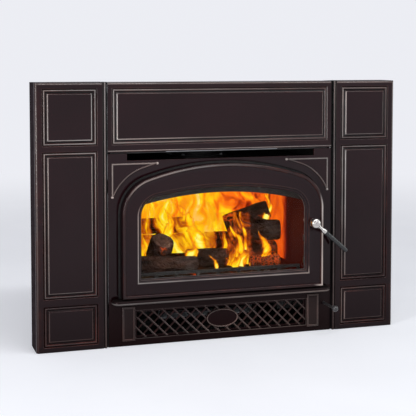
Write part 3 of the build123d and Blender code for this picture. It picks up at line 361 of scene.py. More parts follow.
# The bricks' faint red emission is a painted glow from the fire, not a lamp.
firebrick = dull_finish(
    "firebrick", (0.040, 0.008, 0.004), (0.09, 0.022, 0.011), 0.88, 70.0, 0.0007, 0.7,
    Specular_IOR_Level=0.0, Emission_Color=(1.0, 0.03, 0.01, 1.0), Emission_Strength=0.018)
rope = dull_finish("glass_rope", (0.10, 0.10, 0.095), (0.26, 0.25, 0.235), 0.95, 260.0, 0.0009)
fibre_board = dull_finish("fibre_board", (0.42, 0.38, 0.33), (0.62, 0.58, 0.52), 0.96, 110.0, 0.0006, 0.75)
grip_black = dull_finish(
    "grip_black", (0.004, 0.004, 0.0045), (0.008, 0.008, 0.009), 0.3, 200.0, 0.00003, Coat_Weight=0.15)
knob_grey = dull_finish(
    "knob_grey", (0.014, 0.012, 0.013), (0.028, 0.025, 0.026), 0.42, 180.0, 0.00004, Coat_Weight=0.3)
sheet = dull_finish("casing_paint", (0.018, 0.018, 0.018), (0.034, 0.033, 0.032), 0.55, 35.0, 0.0001)
motor_paint = dull_finish("motor_paint", (0.020, 0.020, 0.021), (0.036, 0.036, 0.037), 0.5, 240.0, 0.0001)
print("finishes so far:", len(bpy.data.materials))

# %% [markdown]
# ## Glass-ceramic
# The pane is a clear, faintly warm glass-ceramic. Fire leaves a bloom of ash on it, and fingers leave smears,
# which both show as drifts in its roughness.

# %% Pane
pane, tree, shader = new_finish("stove_glass", Transmission_Weight=1.0, IOR=1.1, Specular_IOR_Level=0.2)
tint = cloud(tree, 12.0, 4.0, (0.92, 0.90, 0.87), (0.98, 0.97, 0.95))
feed(shader, Base_Color=tint, Roughness=cloud(tree, 20.0, 5.0, 0.0, 0.07, 0.45, 0.95))
print("pane nodes:", len(tree.nodes))

# %% [markdown]
# ## Burning wood
# A burning log is charcoal crazed into little blocks, grey with ash where air reaches it and glowing in its
# cracks. Voronoi cells give the crazing, and the distance to a cell's edge opens the cracks. The glow is
# emission, held to the cracks by a slow cloud, so that a log glows in places and is dead in others. A sawn
# end that has not caught yet is still brown, and the "thin" mark of a log's skin says where that is.

# %% Charred wood and embers
def charred_finish(name, glow, ash, cell=70.0, heat=1.6):
    """Crazed charcoal with ash and glowing cracks; glow moves the share of live cracks."""
    material, tree, shader = new_finish(name, Emission_Strength=heat, Specular_IOR_Level=0.05)
    cells = add(tree, "TexVoronoi", {"Vector": place(tree), "Scale": cell}, feature="DISTANCE_TO_EDGE")
    depth = cells.outputs["Distance"]
    bark = cloud(tree, 55.0, 6.0, (0.012, 0.006, 0.004), (0.100, 0.046, 0.030), 0.3, 0.72, (0.35, 1, 1))
    skin = blend(tree, cloud(tree, 16.0, 6.0, 0.0, ash, 0.52, 0.8), bark, (0.17, 0.145, 0.13, 1.0))
    wood = cloud(tree, 60.0, 4.0, (0.11, 0.055, 0.038), (0.28, 0.15, 0.105))
    live = cloud(tree, 11.0, 3.0, 0.0, 1.0, 0.5 - glow, 0.66 - glow)
    live = combine(tree, "MULTIPLY", ramp(tree, depth, (0.0, 1.0), (0.14, 0.0)), live)
    fire = blend(tree, live, (0.0, 0.0, 0.0, 1.0), (1.0, 0.12, 0.010, 1.0))
    tone = blend(tree, point_mark(tree, "thin"), skin, wood)
    feed(shader, Base_Color=tone, Roughness=cloud(tree, 90.0, 3.0, 0.7, 0.97), Emission_Color=fire)
    bump(tree, shader, (combine(tree, "MINIMUM", depth, 0.25), 0.010), (grain(tree, 160.0, 4.0), 0.0012))
    return material


cold_log = charred_finish("cold_log", -0.2, 0.45, heat=1.0)
charred = charred_finish("charred_log", -0.04, 0.35)
live_log = charred_finish("live_log", 0.05, 0.15, cell=110.0, heat=0.8)
coals = charred_finish("glowing_coals", -0.08, 0.5, cell=52.0, heat=1.2)
print("wood finishes:", [finish.name for finish in (cold_log, charred, live_log, coals)])

# %% [markdown]
# ## Dressing the solids that stay
# Most of the inner works keep the shape they have in the frame and only need a finish. The record names a
# material slot for every solid, so a table from slot to finish dresses them all in one loop, and a missing
# slot would stop the script here, not in a render.

# %% Slot table
finishes = {
    "enamel": enamel, "steel_bracket": zinc, "bolts": bolt_zinc, "ceramic_glass": pane, "seal_rope": rope,
    "cast_seat": stove_paint, "latch_steel": turned_steel, "nickel": nickel, "black_grip": grip_black,
    "firebox_steel": box_paint, "firebrick": firebrick, "tube_steel": tube_steel, "baffle_fibre": fibre_board,
    "embers": coals, "casing_sheet": sheet, "knob_black": knob_grey, "rotor_aluminium": rotor_metal,
    "motor_black": motor_paint, "charred_log": charred,
}
for part in frame["record"]["subparts"]:
    solid = frame["nodes"][part["node"]]
    solid.data.materials.clear()
    solid.data.materials.append(finishes[part["material_slot"]])
print("dressed", len(frame["nodes"]), "solids in", len(finishes), "finishes")

# %% [markdown]
# ## Levels of the front
# The front castings share a few planes, which are read from the frame, so that a piece made here can't drift
# from the solid that it stands for.

# %% Read the planes
def face_of(node):
    """The lowest and highest corners of a solid, in millimetres."""
    return [[v / MM for v in corner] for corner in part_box(node)]


panel_low, panel_high = face_of("surround_left_panel")
middle_low, middle_high = face_of("surround_top_panel")
side_face = panel_low[1] + 0.5
outer_x, inner_x, height = panel_low[0], panel_high[0], panel_high[2]
middle_half, middle_face = middle_high[0], middle_low[1] + 3.0
door_face = face_of("door_frame")[0][1] + 5.0
plate_back = middle_face + 8.0
print("side face", round(side_face, 2), "middle face", round(middle_face, 2))
print("door face", round(door_face, 2))

# %% [markdown]
# ## The frame moulding
# Each field of the surround is framed by one moulding: a channel about 20 mm wide, with a round ridge
# standing in it nearly as high as the face. Its highlights are most of what an eye reads on this object. It
# is one profile, walked round a rectangle so that the corners mitre. Its crests also carry a painted
# highlight, with its own share on each side as the light falls unequally on the four sides, and the deepest
# part of the channel carries painted shade.

# %% Moulding profile
# Each row is across, depth, thin mark and painted highlight.
moulding = [
    (0, 0, 0.1), (0.7, 0.15, 0.5, 0.05), (1.5, 0.8, 0.7, 0.1), (2.4, 2.2, 0.4), (3.1, 3.2), (3.8, 3.7),
    (4.4, 3.5), (4.9, 2.6, 0.3, 0.1), (5.5, 1.4, 0.6, 0.4), (6.3, 0.55, 0.4, 1), (7.4, 0.25, 0.3, 1),
    (8.5, 0.5, 0.6, 0.5), (9.4, 1.1, 1), (10.2, 2.2, 0.7), (10.9, 3.3, 0.2), (11.8, 4), (13.2, 4.1),
    (14.4, 3.9), (15.4, 3.2, 0.3), (16.3, 2.1, 0.7, 0.2), (17.2, 1, 0.5, 0.9), (18.2, 0.3, 0.4, 1),
    (19.2, 0.05, 0.4, 0.2), (20, 0),
]
ridge_ends = 11.0
# Rows deeper than this get painted shade.
shade_depth = 3.3
# Shares of the painted highlight on the left, top, right and bottom sides, for the ridge and the field's
# edge.
ridge_shares = (0.6, 0.45, 0.5, 0.55)
field_shares = (1.0, 0.06, 1.0, 1.0)
corner_run = 5.0
# The painted highlights fade towards the bottom between these heights.
highlight_from, highlight_top = 150, 560
print("moulding", moulding[-1][0], "mm wide,", max(row[1] for row in moulding), "mm deep")


# %% Walk the moulding
def between(value, low, high):
    """0 at low, 1 at high, held in between."""
    return max(0.0, min(1.0, (value - low) / (high - low)))


def rectangle(x0, x1, z0, z1, y):
    """The corners of a rectangle on the plane y."""
    return [(x0, y, z0), (x0, y, z1), (x1, y, z1), (x1, y, z0)]


def sided_rectangle(x0, x1, z0, z1, y, shares):
    """A rectangle with points near its corners, and a share for each from the left, top, right and bottom."""
    left, top, right, bottom = shares
    in_x0, in_x1, in_z0, in_z1 = x0 + corner_run, x1 - corner_run, z0 + corner_run, z1 - corner_run
    points = [(x0, y, z0), (x0, y, in_z0), (x0, y, in_z1), (x0, y, z1), (in_x0, y, z1)]
    points += [(in_x1, y, z1), (x1, y, z1), (x1, y, in_z1), (x1, y, in_z0), (x1, y, z0)]
    points += [(in_x1, y, z0), (in_x0, y, z0)]
    weights = [(left + bottom) / 2, left, left, (left + top) / 2, top, top]
    weights += [(top + right) / 2, right, right, (right + bottom) / 2, bottom, bottom]
    return points, weights


def add_moulding(work, x0, x1, z0, z1, face, highlight_share=1.0, flip=False, depth=1.0, right_highlight=1.0):
    """Fills a hole in a face with the moulding and its raised field, with painted highlights on its crests,
    scaled by a share, weaker on the right and fading downwards, and painted shade in its deepest channel.
    """
    lines = []
    for row in moulding:
        across, deep, thin, painted_highlight = (*row, 0.0, 0.0)[:4]
        left, top, right, bottom = shares = ridge_shares if across < ridge_ends else field_shares
        if flip:
            # On the mirrored panel the painted highlight falls on other sides.
            shares = (right * 1.3, top * 0.7, left * 0.3, bottom * 0.4)
        y = face + deep * depth
        points, weights = sided_rectangle(x0 + across, x1 - across, z0 + across, z1 - across, y, shares)
        lines.append(work.line(points))
        for number, (x, _, z), share in zip(lines[-1], points, weights):
            # The painted highlight fades downwards and is weaker on the right half; the deepest rows get
            # painted shade.
            fade = 0.3 + 0.7 * between(z, highlight_from, highlight_top)
            fade *= right_highlight if x > (x0 + x1) / 2 else 1.0
            work.marks[number] = (PAINTED_SHADE if deep > shade_depth else thin, painted_highlight * share * highlight_share * fade)
    work.skin(lines)
    work.cap(lines[-1])


def add_face(work, xs, zs, is_hole, y, turn=1):
    """The flat of a panel between the lines of a grid, but for its holes; turn -1 mirrors it."""
    for x0, x1 in zip(xs, xs[1:]):
        for z0, z1 in zip(zs, zs[1:]):
            if not is_hole(x0, z0):
                work.cap(work.line(mirrored(rectangle(x0, x1, z0, z1, y), turn)))


def mirrored(points, turn):
    """Points as they are, or mirrored where turn is -1."""
    return [(turn * x, y, z) for x, y, z in points]


print("points along a framed field:", len(sided_rectangle(0, 100, 0, 100, 0, ridge_shares)[0]))

# %% [markdown]
# ## The side panels
# A side panel is a shallow pan: a face with three framed fields, a rounded edge along its top and its outer
# side, and returns that run back to the wall. The rounded edge is a set of L-shaped lines, each further out
# and further back. The inner edge steps down, carries a slim bead and ends in a lip that closes the seam to
# the middle; the bead carries a painted highlight and the rest of the edge painted shade. The returns are
# given a matt black without reflection, a painted shade for the dark surroundings that they would mirror,
# and are pieces of their own.

# %% The rounded edge
edge_radius = 8.0
wall = 6.0
rounding = [(edge_radius * (1 - math.sin(t)), edge_radius * (1 - math.cos(t)))
            for t in (math.pi / 2 * k / 7 for k in range(8))]
# Painted highlight along the rounded edge.
round_highlight = (0.0, 0.1, 0.4, 0.2, 0.0, 0.0, 0.0, 0.0)
bands = [(13.0, 136.0), (154.0, 587.0), (601.0, 771.0)]
field_left, field_right = outer_x + 20.0, outer_x + 184.0
step_x = inner_x - 11.0
print("rounded edge:", edge_radius, "mm in", len(rounding), "lines")


# %% Build a side panel
def side_bend(work, xs, zs, turn, inset, y, thin=0.0, painted_highlight=0.0):
    """An L-shaped line up the outer side and along the top, drawn in by an amount, with a painted highlight
    that fades towards the bottom.
    """
    points = [(outer_x + inset, y, z) for z in zs[:-1]]
    points += [(x, y, height - inset) for x in [outer_x + inset] + xs[1:]]
    line = work.line(mirrored(points, turn))
    for number, (_, _, z) in zip(line, points):
        work.marks[number] = (thin, painted_highlight * (0.1 + 0.9 * between(z, 0, highlight_top)))
    return line


def in_field(x, z):
    """Whether a place is in one of a side panel's three fields."""
    return field_left <= x < field_right and any(low <= z < high for low, high in bands)


def side_panel(name, turn, low_highlight, stands_for):
    """The enamelled front of a side panel; turn is 1 for the left one and -1 for the right one."""
    work = Casting()
    xs = [outer_x + edge_radius, field_left, field_left + corner_run]
    xs += [field_right - corner_run, field_right, step_x]
    levels = [z for low, high in bands for z in (low, low + corner_run, high - corner_run, high)]
    zs = [0.0] + levels + [height - edge_radius]
    add_face(work, xs, zs, in_field, side_face, turn)
    ends = sorted((turn * field_left, turn * field_right))
    for (z0, z1), highlight_share in zip(bands, (low_highlight, 1.0, 1.0)):
        add_moulding(work, *ends, z0, z1, side_face, highlight_share, turn < 0)
    lines = []
    for (inset, deep), highlight_share in zip(rounding, round_highlight):
        lines.append(side_bend(work, xs, zs, turn, inset, side_face + deep, 0.4, highlight_share))
    rim = side_face + edge_radius + 1.0
    for inset, y in ((0.0, rim), (wall, rim), (wall, side_face + wall)):
        lines.append(side_bend(work, xs, zs, turn, inset, y))
    work.skin(lines, closed=False)
    back = rectangle(outer_x + wall, step_x, 0.0, height - wall, side_face + wall)
    work.cap(work.line(mirrored(back, turn)))
    corner = mirrored([(step_x, side_face + wall, 0.0), (step_x, side_face, 0.0)], turn)
    work.cap([line[0] for line in lines] + work.line(corner))
    work.cap([line[-1] for line in lines])
    add_edge_strip(work, turn)
    make_piece(name, work, enamel, stands_for=[stands_for])


def side_return(name, turn):
    """The plain walls that run from a side panel's rounded edge back to the wall of the room."""
    work = Casting()
    xs, zs = [outer_x, step_x, inner_x], [0.0, 154.0, 601.0, height]
    front = side_face + edge_radius + 1.0
    levels = [(0.0, front), (0.0, -1.0), (0.3, -0.3), (1.0, 0.0)]
    levels += [(wall - 0.5, 0.0), (wall, -0.6), (wall, front)]
    lines = [side_bend(work, xs, zs, turn, inset, y) for inset, y in levels]
    work.skin(lines + [lines[0]], closed=False)
    for end in (0, -1):
        work.cap([line[end] for line in lines])
    # The returns get the matt black of painted shade.
    make_piece(name, work, return_shade_paint)


# %% The inner edge
bead = 3.0


def bead_arc(centre, base):
    """Ten steps of a half-round bead, as offsets across and out."""
    turns = [math.pi * k / 10 for k in range(1, 11)]
    return [(centre - bead * math.cos(t), base - bead * math.sin(t)) for t in turns]


def add_edge_strip(work, turn):
    """The stepped inner edge with its bead, and the lip that closes the seam; the step's edge and the bead
    carry a painted highlight that fades downwards, and the rest painted shade.
    """
    drop = side_face + 2.5
    lip, lip_back = side_face + 10.6, side_face + 12.4
    section = [(step_x - 0.5, side_face + wall), (step_x - 0.5, side_face + 0.02)]
    section += [(step_x + 0.6, side_face + 0.3), (step_x + 1.4, side_face + 1.4)]
    section += [(step_x + 1.8, drop), (inner_x - 2 * bead, drop)] + bead_arc(inner_x - bead, drop)
    section += [(inner_x, lip), (inner_x + 5.6, lip), (inner_x + 5.6, lip_back)]
    section += [(inner_x - 1.5, lip_back), (inner_x - 1.5, side_face + wall)]
    # Painted highlight along the step's edge and the bead; points without it get painted shade.
    edge_highlights = [0.0, 0.1, 0.1, 0.0, 0.0, 0.0, 0.1, 0.2, 0.35, 0.45, 0.4, 0.2, 0.1] + [0.0] * 8
    lines = []
    for z, cut in ((0.0, 0.0), (height - 2.2, 0.0), (height - 0.6, 0.5), (height, 1.6)):
        ring = [(turn * x, y + (cut if y < drop - 0.1 else 0.0), z) for x, y in section]
        lines.append(work.line(ring))
        for number, painted_highlight in zip(lines[-1], edge_highlights):
            high = 0.25 + 0.75 * between(z, 0, highlight_top)
            work.marks[number] = (0.3 if painted_highlight > 0.05 else PAINTED_SHADE, painted_highlight * high)
    work.skin(lines, capped=True)


# The third argument scales the painted highlight on the lowest field.
side_panel("left_panel", 1, 0.4, "surround_left_panel")
side_panel("right_panel", -1, 1.2, "surround_right_panel")
side_return("left_return", 1)
side_return("right_return", -1)

# %% [markdown]
# ## The top panel
# The panel over the door is one long framed field with a rounded top edge and a bead along its foot, which
# shades the hot-air slot. A lip and two tabs behind the foot close the joint with the plate below. Its
# section is a single line, walked straight across, with a hole left for the moulding.

# %% Build the top panel
def top_panel():
    """The long panel over the door."""
    work = Casting()
    foot = middle_low[2]
    end, (low, high) = middle_half - 11.0, bands[-1]
    xs = [-middle_half, -end, corner_run - end, end - corner_run, end, middle_half]
    zs = [foot + 6.0, low, low + corner_run, high - corner_run, high, height - edge_radius]
    add_face(work, xs, zs, lambda x, z: -end <= x < end and low <= z < high, middle_face)
    # The painted highlight is weaker on the right half.
    add_moulding(work, -end, end, low, high, middle_face, depth=0.7, right_highlight=0.35)
    section = [(middle_face + deep, height - inset, 0.4, highlight_share)
               for (inset, deep), highlight_share in zip(rounding, round_highlight)]
    section += [(-0.6, height), (0.0, height - 0.6)]
    section += [(0.0, height - wall), (middle_face + wall, height - wall)]
    lip, lip_back = plate_back + 0.2, plate_back + 2.2
    section += [(lip, foot + 8), (lip_back + 0.2, foot + 7), (lip_back + 0.2, foot - 1.8), (lip, foot - 1.8)]
    section += [(lip, foot), (middle_face, foot)]
    # Painted highlight along the foot's bead.
    bead_highlight = (0, 0, 0, 0, 0.1, 0.3, 0.5, 0.4, 0.2, 0.0)
    section += [(y, z, 0.3, highlight_share) for (z, y), highlight_share in zip(bead_arc(foot + bead, middle_face), bead_highlight)]
    lines = work.lines(lambda y, z: [(x, y, z) for x in xs], section)
    work.skin(lines, closed=False)
    for tip in (0, -1):
        work.cap([line[tip] for line in lines])
    for side in (-1, 1):
        ends = sorted((side * (middle_half - 9.2), side * (middle_half - 0.2)))
        # The tabs get painted shade.
        tab = [work.line(rectangle(*ends, foot - 6.5, foot + 1.0, y), PAINTED_SHADE) for y in (lip, lip_back)]
        work.skin(tab, capped=True)
    make_piece("top_panel", work, enamel, stands_for=["surround_top_panel"])


top_panel()

# %% [markdown]
# ## Arched outlines
# The door and its pane are straight-sided under a three-centred arch: a tight arc at each corner and a flat
# arc over the middle. One function walks such an outline with the same number of points whatever its size, so
# any two can be joined by a skin. An outline moved inwards keeps its centres and loses the same amount of
# every radius.

# %% Walk an arch
def arc(cx, cz, radius, start, stop, steps):
    """Points of an arc, without its last one."""
    turns = [start + (stop - start) * k / steps for k in range(steps)]
    return [(cx + radius * math.cos(t), cz + radius * math.sin(t)) for t in turns]


def arch(half, foot, spring, rise, corner):
    """A three-centred arch from its lower left corner, once round."""
    crown = ((half - corner) ** 2 + rise**2 - corner**2) / (2 * (rise - corner))
    crown_z = spring + rise - crown
    turn = math.atan2(spring - crown_z, half - corner)
    points = [(-half, foot + (spring - foot) * k / 8) for k in range(8)]
    points += arc(corner - half, spring, corner, math.pi, math.pi - turn, 18)
    points += arc(0.0, crown_z, crown, math.pi - turn, turn, 48)
    points += arc(half - corner, spring, corner, turn, 0.0, 18)
    points += [(half, spring + (foot - spring) * k / 8) for k in range(8)]
    points += [(half - 2 * half * k / 24, foot) for k in range(24)]
    return points


print("points round an arch:", len(arch(300, 100, 400, 140, 110)))

# %% The door's two outlines
door_half, door_foot, door_spring, door_rise, door_corner = 320, 147, 395, 146, 112
pane_half, pane_foot, pane_spring, pane_rise, pane_corner = 272, 192, 390, 90, 68


def door_arch(grow, foot):
    """The door's outline in x and z, moved outwards by an amount, down to a foot."""
    return arch(door_half + grow, foot, door_spring, door_rise + grow, door_corner + grow)


def door_line(inset, deep):
    """The door's outline moved inwards, at a depth behind its face."""
    return [(x, door_face + deep, z) for x, z in door_arch(-inset, door_foot + inset)]


def pane_line(inset, deep):
    """The pane opening's outline moved inwards, at a depth behind the door's face."""
    outline = arch(
        pane_half - inset, pane_foot + inset, pane_spring, pane_rise - inset, pane_corner - inset)
    return [(x, door_face + deep, z) for x, z in outline]


print("door", 2 * door_half, "mm wide, pane", 2 * pane_half, "mm wide")

# %% [markdown]
# ## The door
# The door is a flat cast ring. A round bead runs along its outer edge, and towards the pane it steps down
# twice, through a small lip and a cove, which is why the photograph shows two pale lines beside the glass. At
# the back it has a channel for the rope. The whole ring is one closed skin: it starts at the back, goes round
# the front, and returns.

# %% Where the door carries painted highlights
def bead_highlight_at(x, z):
    """Where the bead carries a painted highlight: on the left shoulder of the arch and beside the handle."""
    shoulder = 0.6 * between(z, 440, 480) * between(x, 120, -60)
    beside_handle = 1.6 * between(x, 300, 312) * between(z, 440, 400)
    return 0.03 + max(shoulder, beside_handle)


def lip_highlight_at(x, z):
    """Where the lip round the pane carries a painted highlight: along its foot and up its left side."""
    foot = between(z, 215, 196)
    left = between(x, -250, -268) * between(z, 430, 380)
    return 0.03 + 0.75 * max(foot, left)


def red_shoulder(x, z):
    """The bead's red slopes are strongest on the right shoulder."""
    return 0.7 + 1.3 * between(z, 430, 470) * between(x, -40, 120)


print("bead at the shoulder", round(bead_highlight_at(-100, 480), 2), "and at the foot", bead_highlight_at(0, door_foot))


# %% Build the door
def door_casting():
    """The door ring with bead, pane lip and rope channel."""
    work = Casting()
    # Fourth entries are painted highlights, and thin marks below zero are painted shade.
    edge_bead = work.lines(door_line, [
        (0.8, 32, PAINTED_SHADE), (0, 31.2, PAINTED_SHADE), (0, 0.5, -0.6), (0, -1.2, 0.2), (0.4, -2.8, 1, 0.1),
        (1.4, -4.2, 0.8), (3, -4.9, 0.3, 0.5), (5, -5, 0.2, 1), (6.8, -4.8, 0.4, 0.2), (8.4, -4, 0.9),
        (9.5, -2.6, 1), (10, -1.1, 0.4), (10.5, -0.2), (11.5, 0),
    ])
    lip = work.lines(pane_line, [
        (-3.2, 0), (-2.4, -0.35, 0.3, 0.3), (-1, -0.75, 0.4, 1), (0.4, -0.6, 0.6, 0.9),
        (1.4, 0.3, 0.6, 0.4), (2, 1.8, 0.2), (3, 3), (4.6, 3.7), (6.4, 4, 0.2, 0.1), (7.4, 4.3, 0.9, 0.4),
        (8.1, 5.2, 1, 0.2), (8.8, 6.8, 0.4), (9.8, 7.8, 0.1), (11, 8.3), (11, 10),
    ])
    for lines, redden, highlight_at in ((edge_bead, red_shoulder, bead_highlight_at), (lip, lambda x, z: 1.0, lip_highlight_at)):
        for number in (i for line in lines for i in line):
            thin, painted_highlight = work.marks[number]
            x, _, z = work.points[number]
            work.marks[number] = (thin * redden(x, z), painted_highlight * highlight_at(x, z))
    back = work.lines(door_line, [(31, 10), (31, 32), (27.5, 32), (27.5, 22), (17.5, 22), (17.5, 32)])
    work.skin(edge_bead + lip + back + [edge_bead[0]])
    make_piece("door_casting", work, enamel, body="door", stands_for=["door_frame"])


door_casting()

# %% [markdown]
# ## The front plate
# The plate around the door fills the corners above the arch. Its outline is one polygon: up the sides, over
# an ear at each end of the hot-air slot, and back under the arch. A filled 2-D curve is the quickest way to
# such a plate, because the curve rounds every edge of the outline by itself. The curve then becomes a mesh
# like the other castings.

# %% Build the front plate
lip_bottom, lip_top = 127.0, 143.0
ear_top, slot_bottom, ear_x = 576.0, 555.0, 299.0
door_gap, below_lip = 7, 130
soft = 1.0


def front_casting(outline):
    """A plate with softened edges, from a closed outline in x and z."""
    curve = bpy.data.curves.new("front_casting_curve", "CURVE")
    curve.dimensions, curve.fill_mode = "2D", "BOTH"
    curve.extrude = ((plate_back - middle_face) / 2 - soft) * MM
    curve.bevel_depth, curve.bevel_resolution, curve.offset = soft * MM, 2, -soft * MM
    spline = curve.splines.new("POLY")
    spline.points.add(len(outline) - 1)
    for point, (x, z) in zip(spline.points, outline):
        point.co = (x * MM, z * MM, 0.0, 1.0)
    spline.use_cyclic_u = True
    holder = bpy.data.objects.new("front_casting_curve", curve)
    bpy.context.scene.collection.objects.link(holder)
    bpy.context.view_layer.update()
    filled = bpy.data.meshes.new_from_object(holder.evaluated_get(bpy.context.evaluated_depsgraph_get()))
    build = bmesh.new()
    build.from_mesh(filled)
    bpy.data.objects.remove(holder)
    bpy.data.meshes.remove(filled)
    middle = (middle_face + plate_back) / 2 * MM
    for vert in build.verts:
        x, up, out = vert.co
        vert.co = (x, middle - out, up)
    bmesh.ops.remove_doubles(build, verts=build.verts, dist=2e-6)
    bmesh.ops.recalc_face_normals(build, faces=build.faces)
    layer = build.verts.layers.float.new("thin")
    for vert in build.verts:
        vert[layer] = 0.5 if (middle_face + 0.1) * MM < vert.co.y < middle else 0.0
    mesh = mesh_of(build, "front_casting", 32)
    dress("front_casting", mesh, enamel, stands_for=["front_plate"])


outline = [(-middle_half, lip_top), (-middle_half, ear_top), (-ear_x, ear_top), (-ear_x, slot_bottom)]
outline += [(ear_x, slot_bottom), (ear_x, ear_top), (middle_half, ear_top), (middle_half, lip_top)]
outline += [(door_half + door_gap, lip_top)]
outline += [point for point in door_arch(door_gap, below_lip) if point[1] > lip_top][::-1]
outline += [(-door_half - door_gap, lip_top)]
front_casting(outline)

# %% [markdown]
# ## Ridges in the corners
# A slim round ridge frames each corner field over the arch: up the side, along the top, and back along the
# arch. It ends in small drops where two runs meet. A tube along the runs, sunk halfway into the plate, gives
# the round section at once, and a flattened ball makes each drop.

# %% Tubes and drops
outwards = Vector((0, 1, 0))
ridge_thin, drop_thin = 0.5, 0.6
drop_rows = 9


def circle(steps):
    """The angles of evenly spread points round a circle."""
    return [2 * math.pi * k / steps for k in range(steps)]


round_tube = circle(16)


def add_tube(work, path, radius, squash, painted_highlight):
    """A round tube along points in millimetres; squash flattens it along y."""
    lines = []
    path = [Vector(point) for point in path]
    for i, here in enumerate(path):
        into = (here - path[i - 1] if i else path[1] - here).normalized()
        away = (path[i + 1] - here).normalized() if i < len(path) - 1 else into
        across = outwards.cross((into + away).normalized()).normalized()
        stretch = 1.0 / max(0.5, across.dot(outwards.cross(away).normalized()))
        ring = [here + across * math.cos(t) * radius * stretch + outwards * math.sin(t) * radius * squash
                for t in round_tube]
        lines.append(work.line(ring))
        for number, t in zip(lines[-1], round_tube):
            # Painted highlight on the front of the ridge.
            work.marks[number] = (ridge_thin, painted_highlight * max(0.0, -math.sin(t)) ** 3)
    work.skin(lines, capped=True)


def add_ball(work, centre, radii):
    """An ellipsoid of latitude rings."""
    (x, y, z), (wide, deep, tall) = centre, radii
    lines = []
    for lift in (math.pi * j / drop_rows for j in range(1, drop_rows)):
        ring = [(x + wide * math.sin(lift) * math.cos(t), y - deep * math.cos(lift),
                 z + tall * math.sin(lift) * math.sin(t)) for t in round_tube]
        # Painted highlight on the front of each drop.
        lines.append(work.line(ring, drop_thin, max(0.0, math.cos(lift))))
    work.skin(lines)
    work.fan(lines[0], (x, y - deep, z), drop_thin, 1.0)
    work.fan(lines[-1], (x, y + deep, z), drop_thin)


print("points round a ridge:", len(round_tube))


# %% Build the corner ridges
band, ridge_foot = 22.5, 330


def corner_ridge(name, turn):
    """The ridge round one corner field."""
    work = Casting()
    margin, radius = 7.0, 3.0
    right, top = middle_half - 10.0 - radius, slot_bottom - margin - radius
    curve = door_arch(margin + band + radius, below_lip)
    curve = [(x, z) for x, z in curve if 0 < x < right and ridge_foot < z < top]
    left_end, low_end = curve[0][0], curve[-1][1]
    frame_run = [(right, low_end - 4), (right, top), (left_end - 4, top)]
    arch_run = [(left_end - 4, top)] + curve + [(right, low_end - 4)]
    # The third value scales the painted highlight.
    for run, squash, painted_highlight in ((frame_run, 0.95, 0.5), (arch_run, 1.0, 0.22)):
        add_tube(work, [(turn * x, middle_face, z) for x, z in run], radius, squash, painted_highlight)
    for x, z in ((left_end - 6, top), (right, low_end - 6)):
        add_ball(work, (turn * x, middle_face, z), (5.0, 3.6, 4.4))
    make_piece(name, work, enamel)


corner_ridge("corner_ridge_right", 1)
corner_ridge("corner_ridge_left", -1)

# %% [markdown]
# ## The ash lip
# The shelf under the door has a full round nose and turned-back ends. Its plan is a rounded rectangle, and
# each level of the nose is that plan drawn in by a little, so one skin makes the nose run round the corners
# without a seam. A thin strip behind it closes the joint between the plates above and below.

# %% Build the ash lip
lip_reach, lip_half, lip_corner = 32.0, 348.0, 20.0


def drawn_in(x0, x1, z0, z1, base=0.0):
    """A function that gives the rectangle drawn in by an inset, at a depth from a base plane."""
    return lambda inset, deep: rectangle(x0 + inset, x1 - inset, z0 + inset, z1 - inset, base + deep)


def lip_line(inset, z):
    """The shelf's plan, drawn in on its front and ends, at the height z."""
    front, side = middle_face - lip_reach + inset, lip_half - inset
    radius = max(2.0, lip_corner - inset)
    run, turn = side - radius, math.pi / 2
    flank = [(side, front + radius + (plate_back - front - radius) * k / 4) for k in range(5)]
    points = [(-x, y) for x, y in flank[:0:-1]]
    points += arc(-run, front + radius, radius, 2 * turn, 3 * turn, 10)
    points += [(2 * run * k / 12 - run, front) for k in range(12)]
    points += arc(run, front + radius, radius, 3 * turn, 4 * turn, 10) + flank
    return [(x, y, z) for x, y in points]


def ash_shelf():
    """The ash lip."""
    work = Casting()
    # Marks below zero on the nose's top and foot are painted shade; its front and the root get painted
    # highlights.
    nose = [
        (10, 127, PAINTED_SHADE), (6, 127.3, -0.8), (3.2, 128.6, 0.2), (1.2, 130.8, 0.3, 0.25),
        (0.2, 133.4, 0.1, 0.4), (0, 135.6), (0.4, 138, -0.3), (1.6, 140.2, -0.8), (3.4, 141.7, PAINTED_SHADE),
        (5.8, 142.7, PAINTED_SHADE), (9, 143, PAINTED_SHADE),
    ]
    work.skin(work.lines(lip_line, nose), capped=True)
    root = [(0.4, middle_face, 0.2), (0.0, middle_face + 0.4, 0.2), (0.0, plate_back - 0.1, 0.2)]
    strip = drawn_in(-middle_half, middle_half, lip_bottom + 0.2, lip_top - 0.2)
    work.skin(work.lines(strip, root), capped=True)
    make_piece("ash_shelf", work, low_shaded_enamel, stands_for=["ash_lip"])


ash_shelf()

# %% [markdown]
# ## The lower front
# Under the shelf a flat plate holds the grille between two raised panels. The plate is a skin from its outer
# rectangle to the rim of the opening. The raised panels are small versions of the same trick, stepped in a
# few times so that their edges catch the light.

# %% Build the lower front
grille_hole = (-275.0, 275.0, 21.0, 104.0)
pilaster_x, pilaster_z = (276.5, 316.5), (15.0, 119.0)


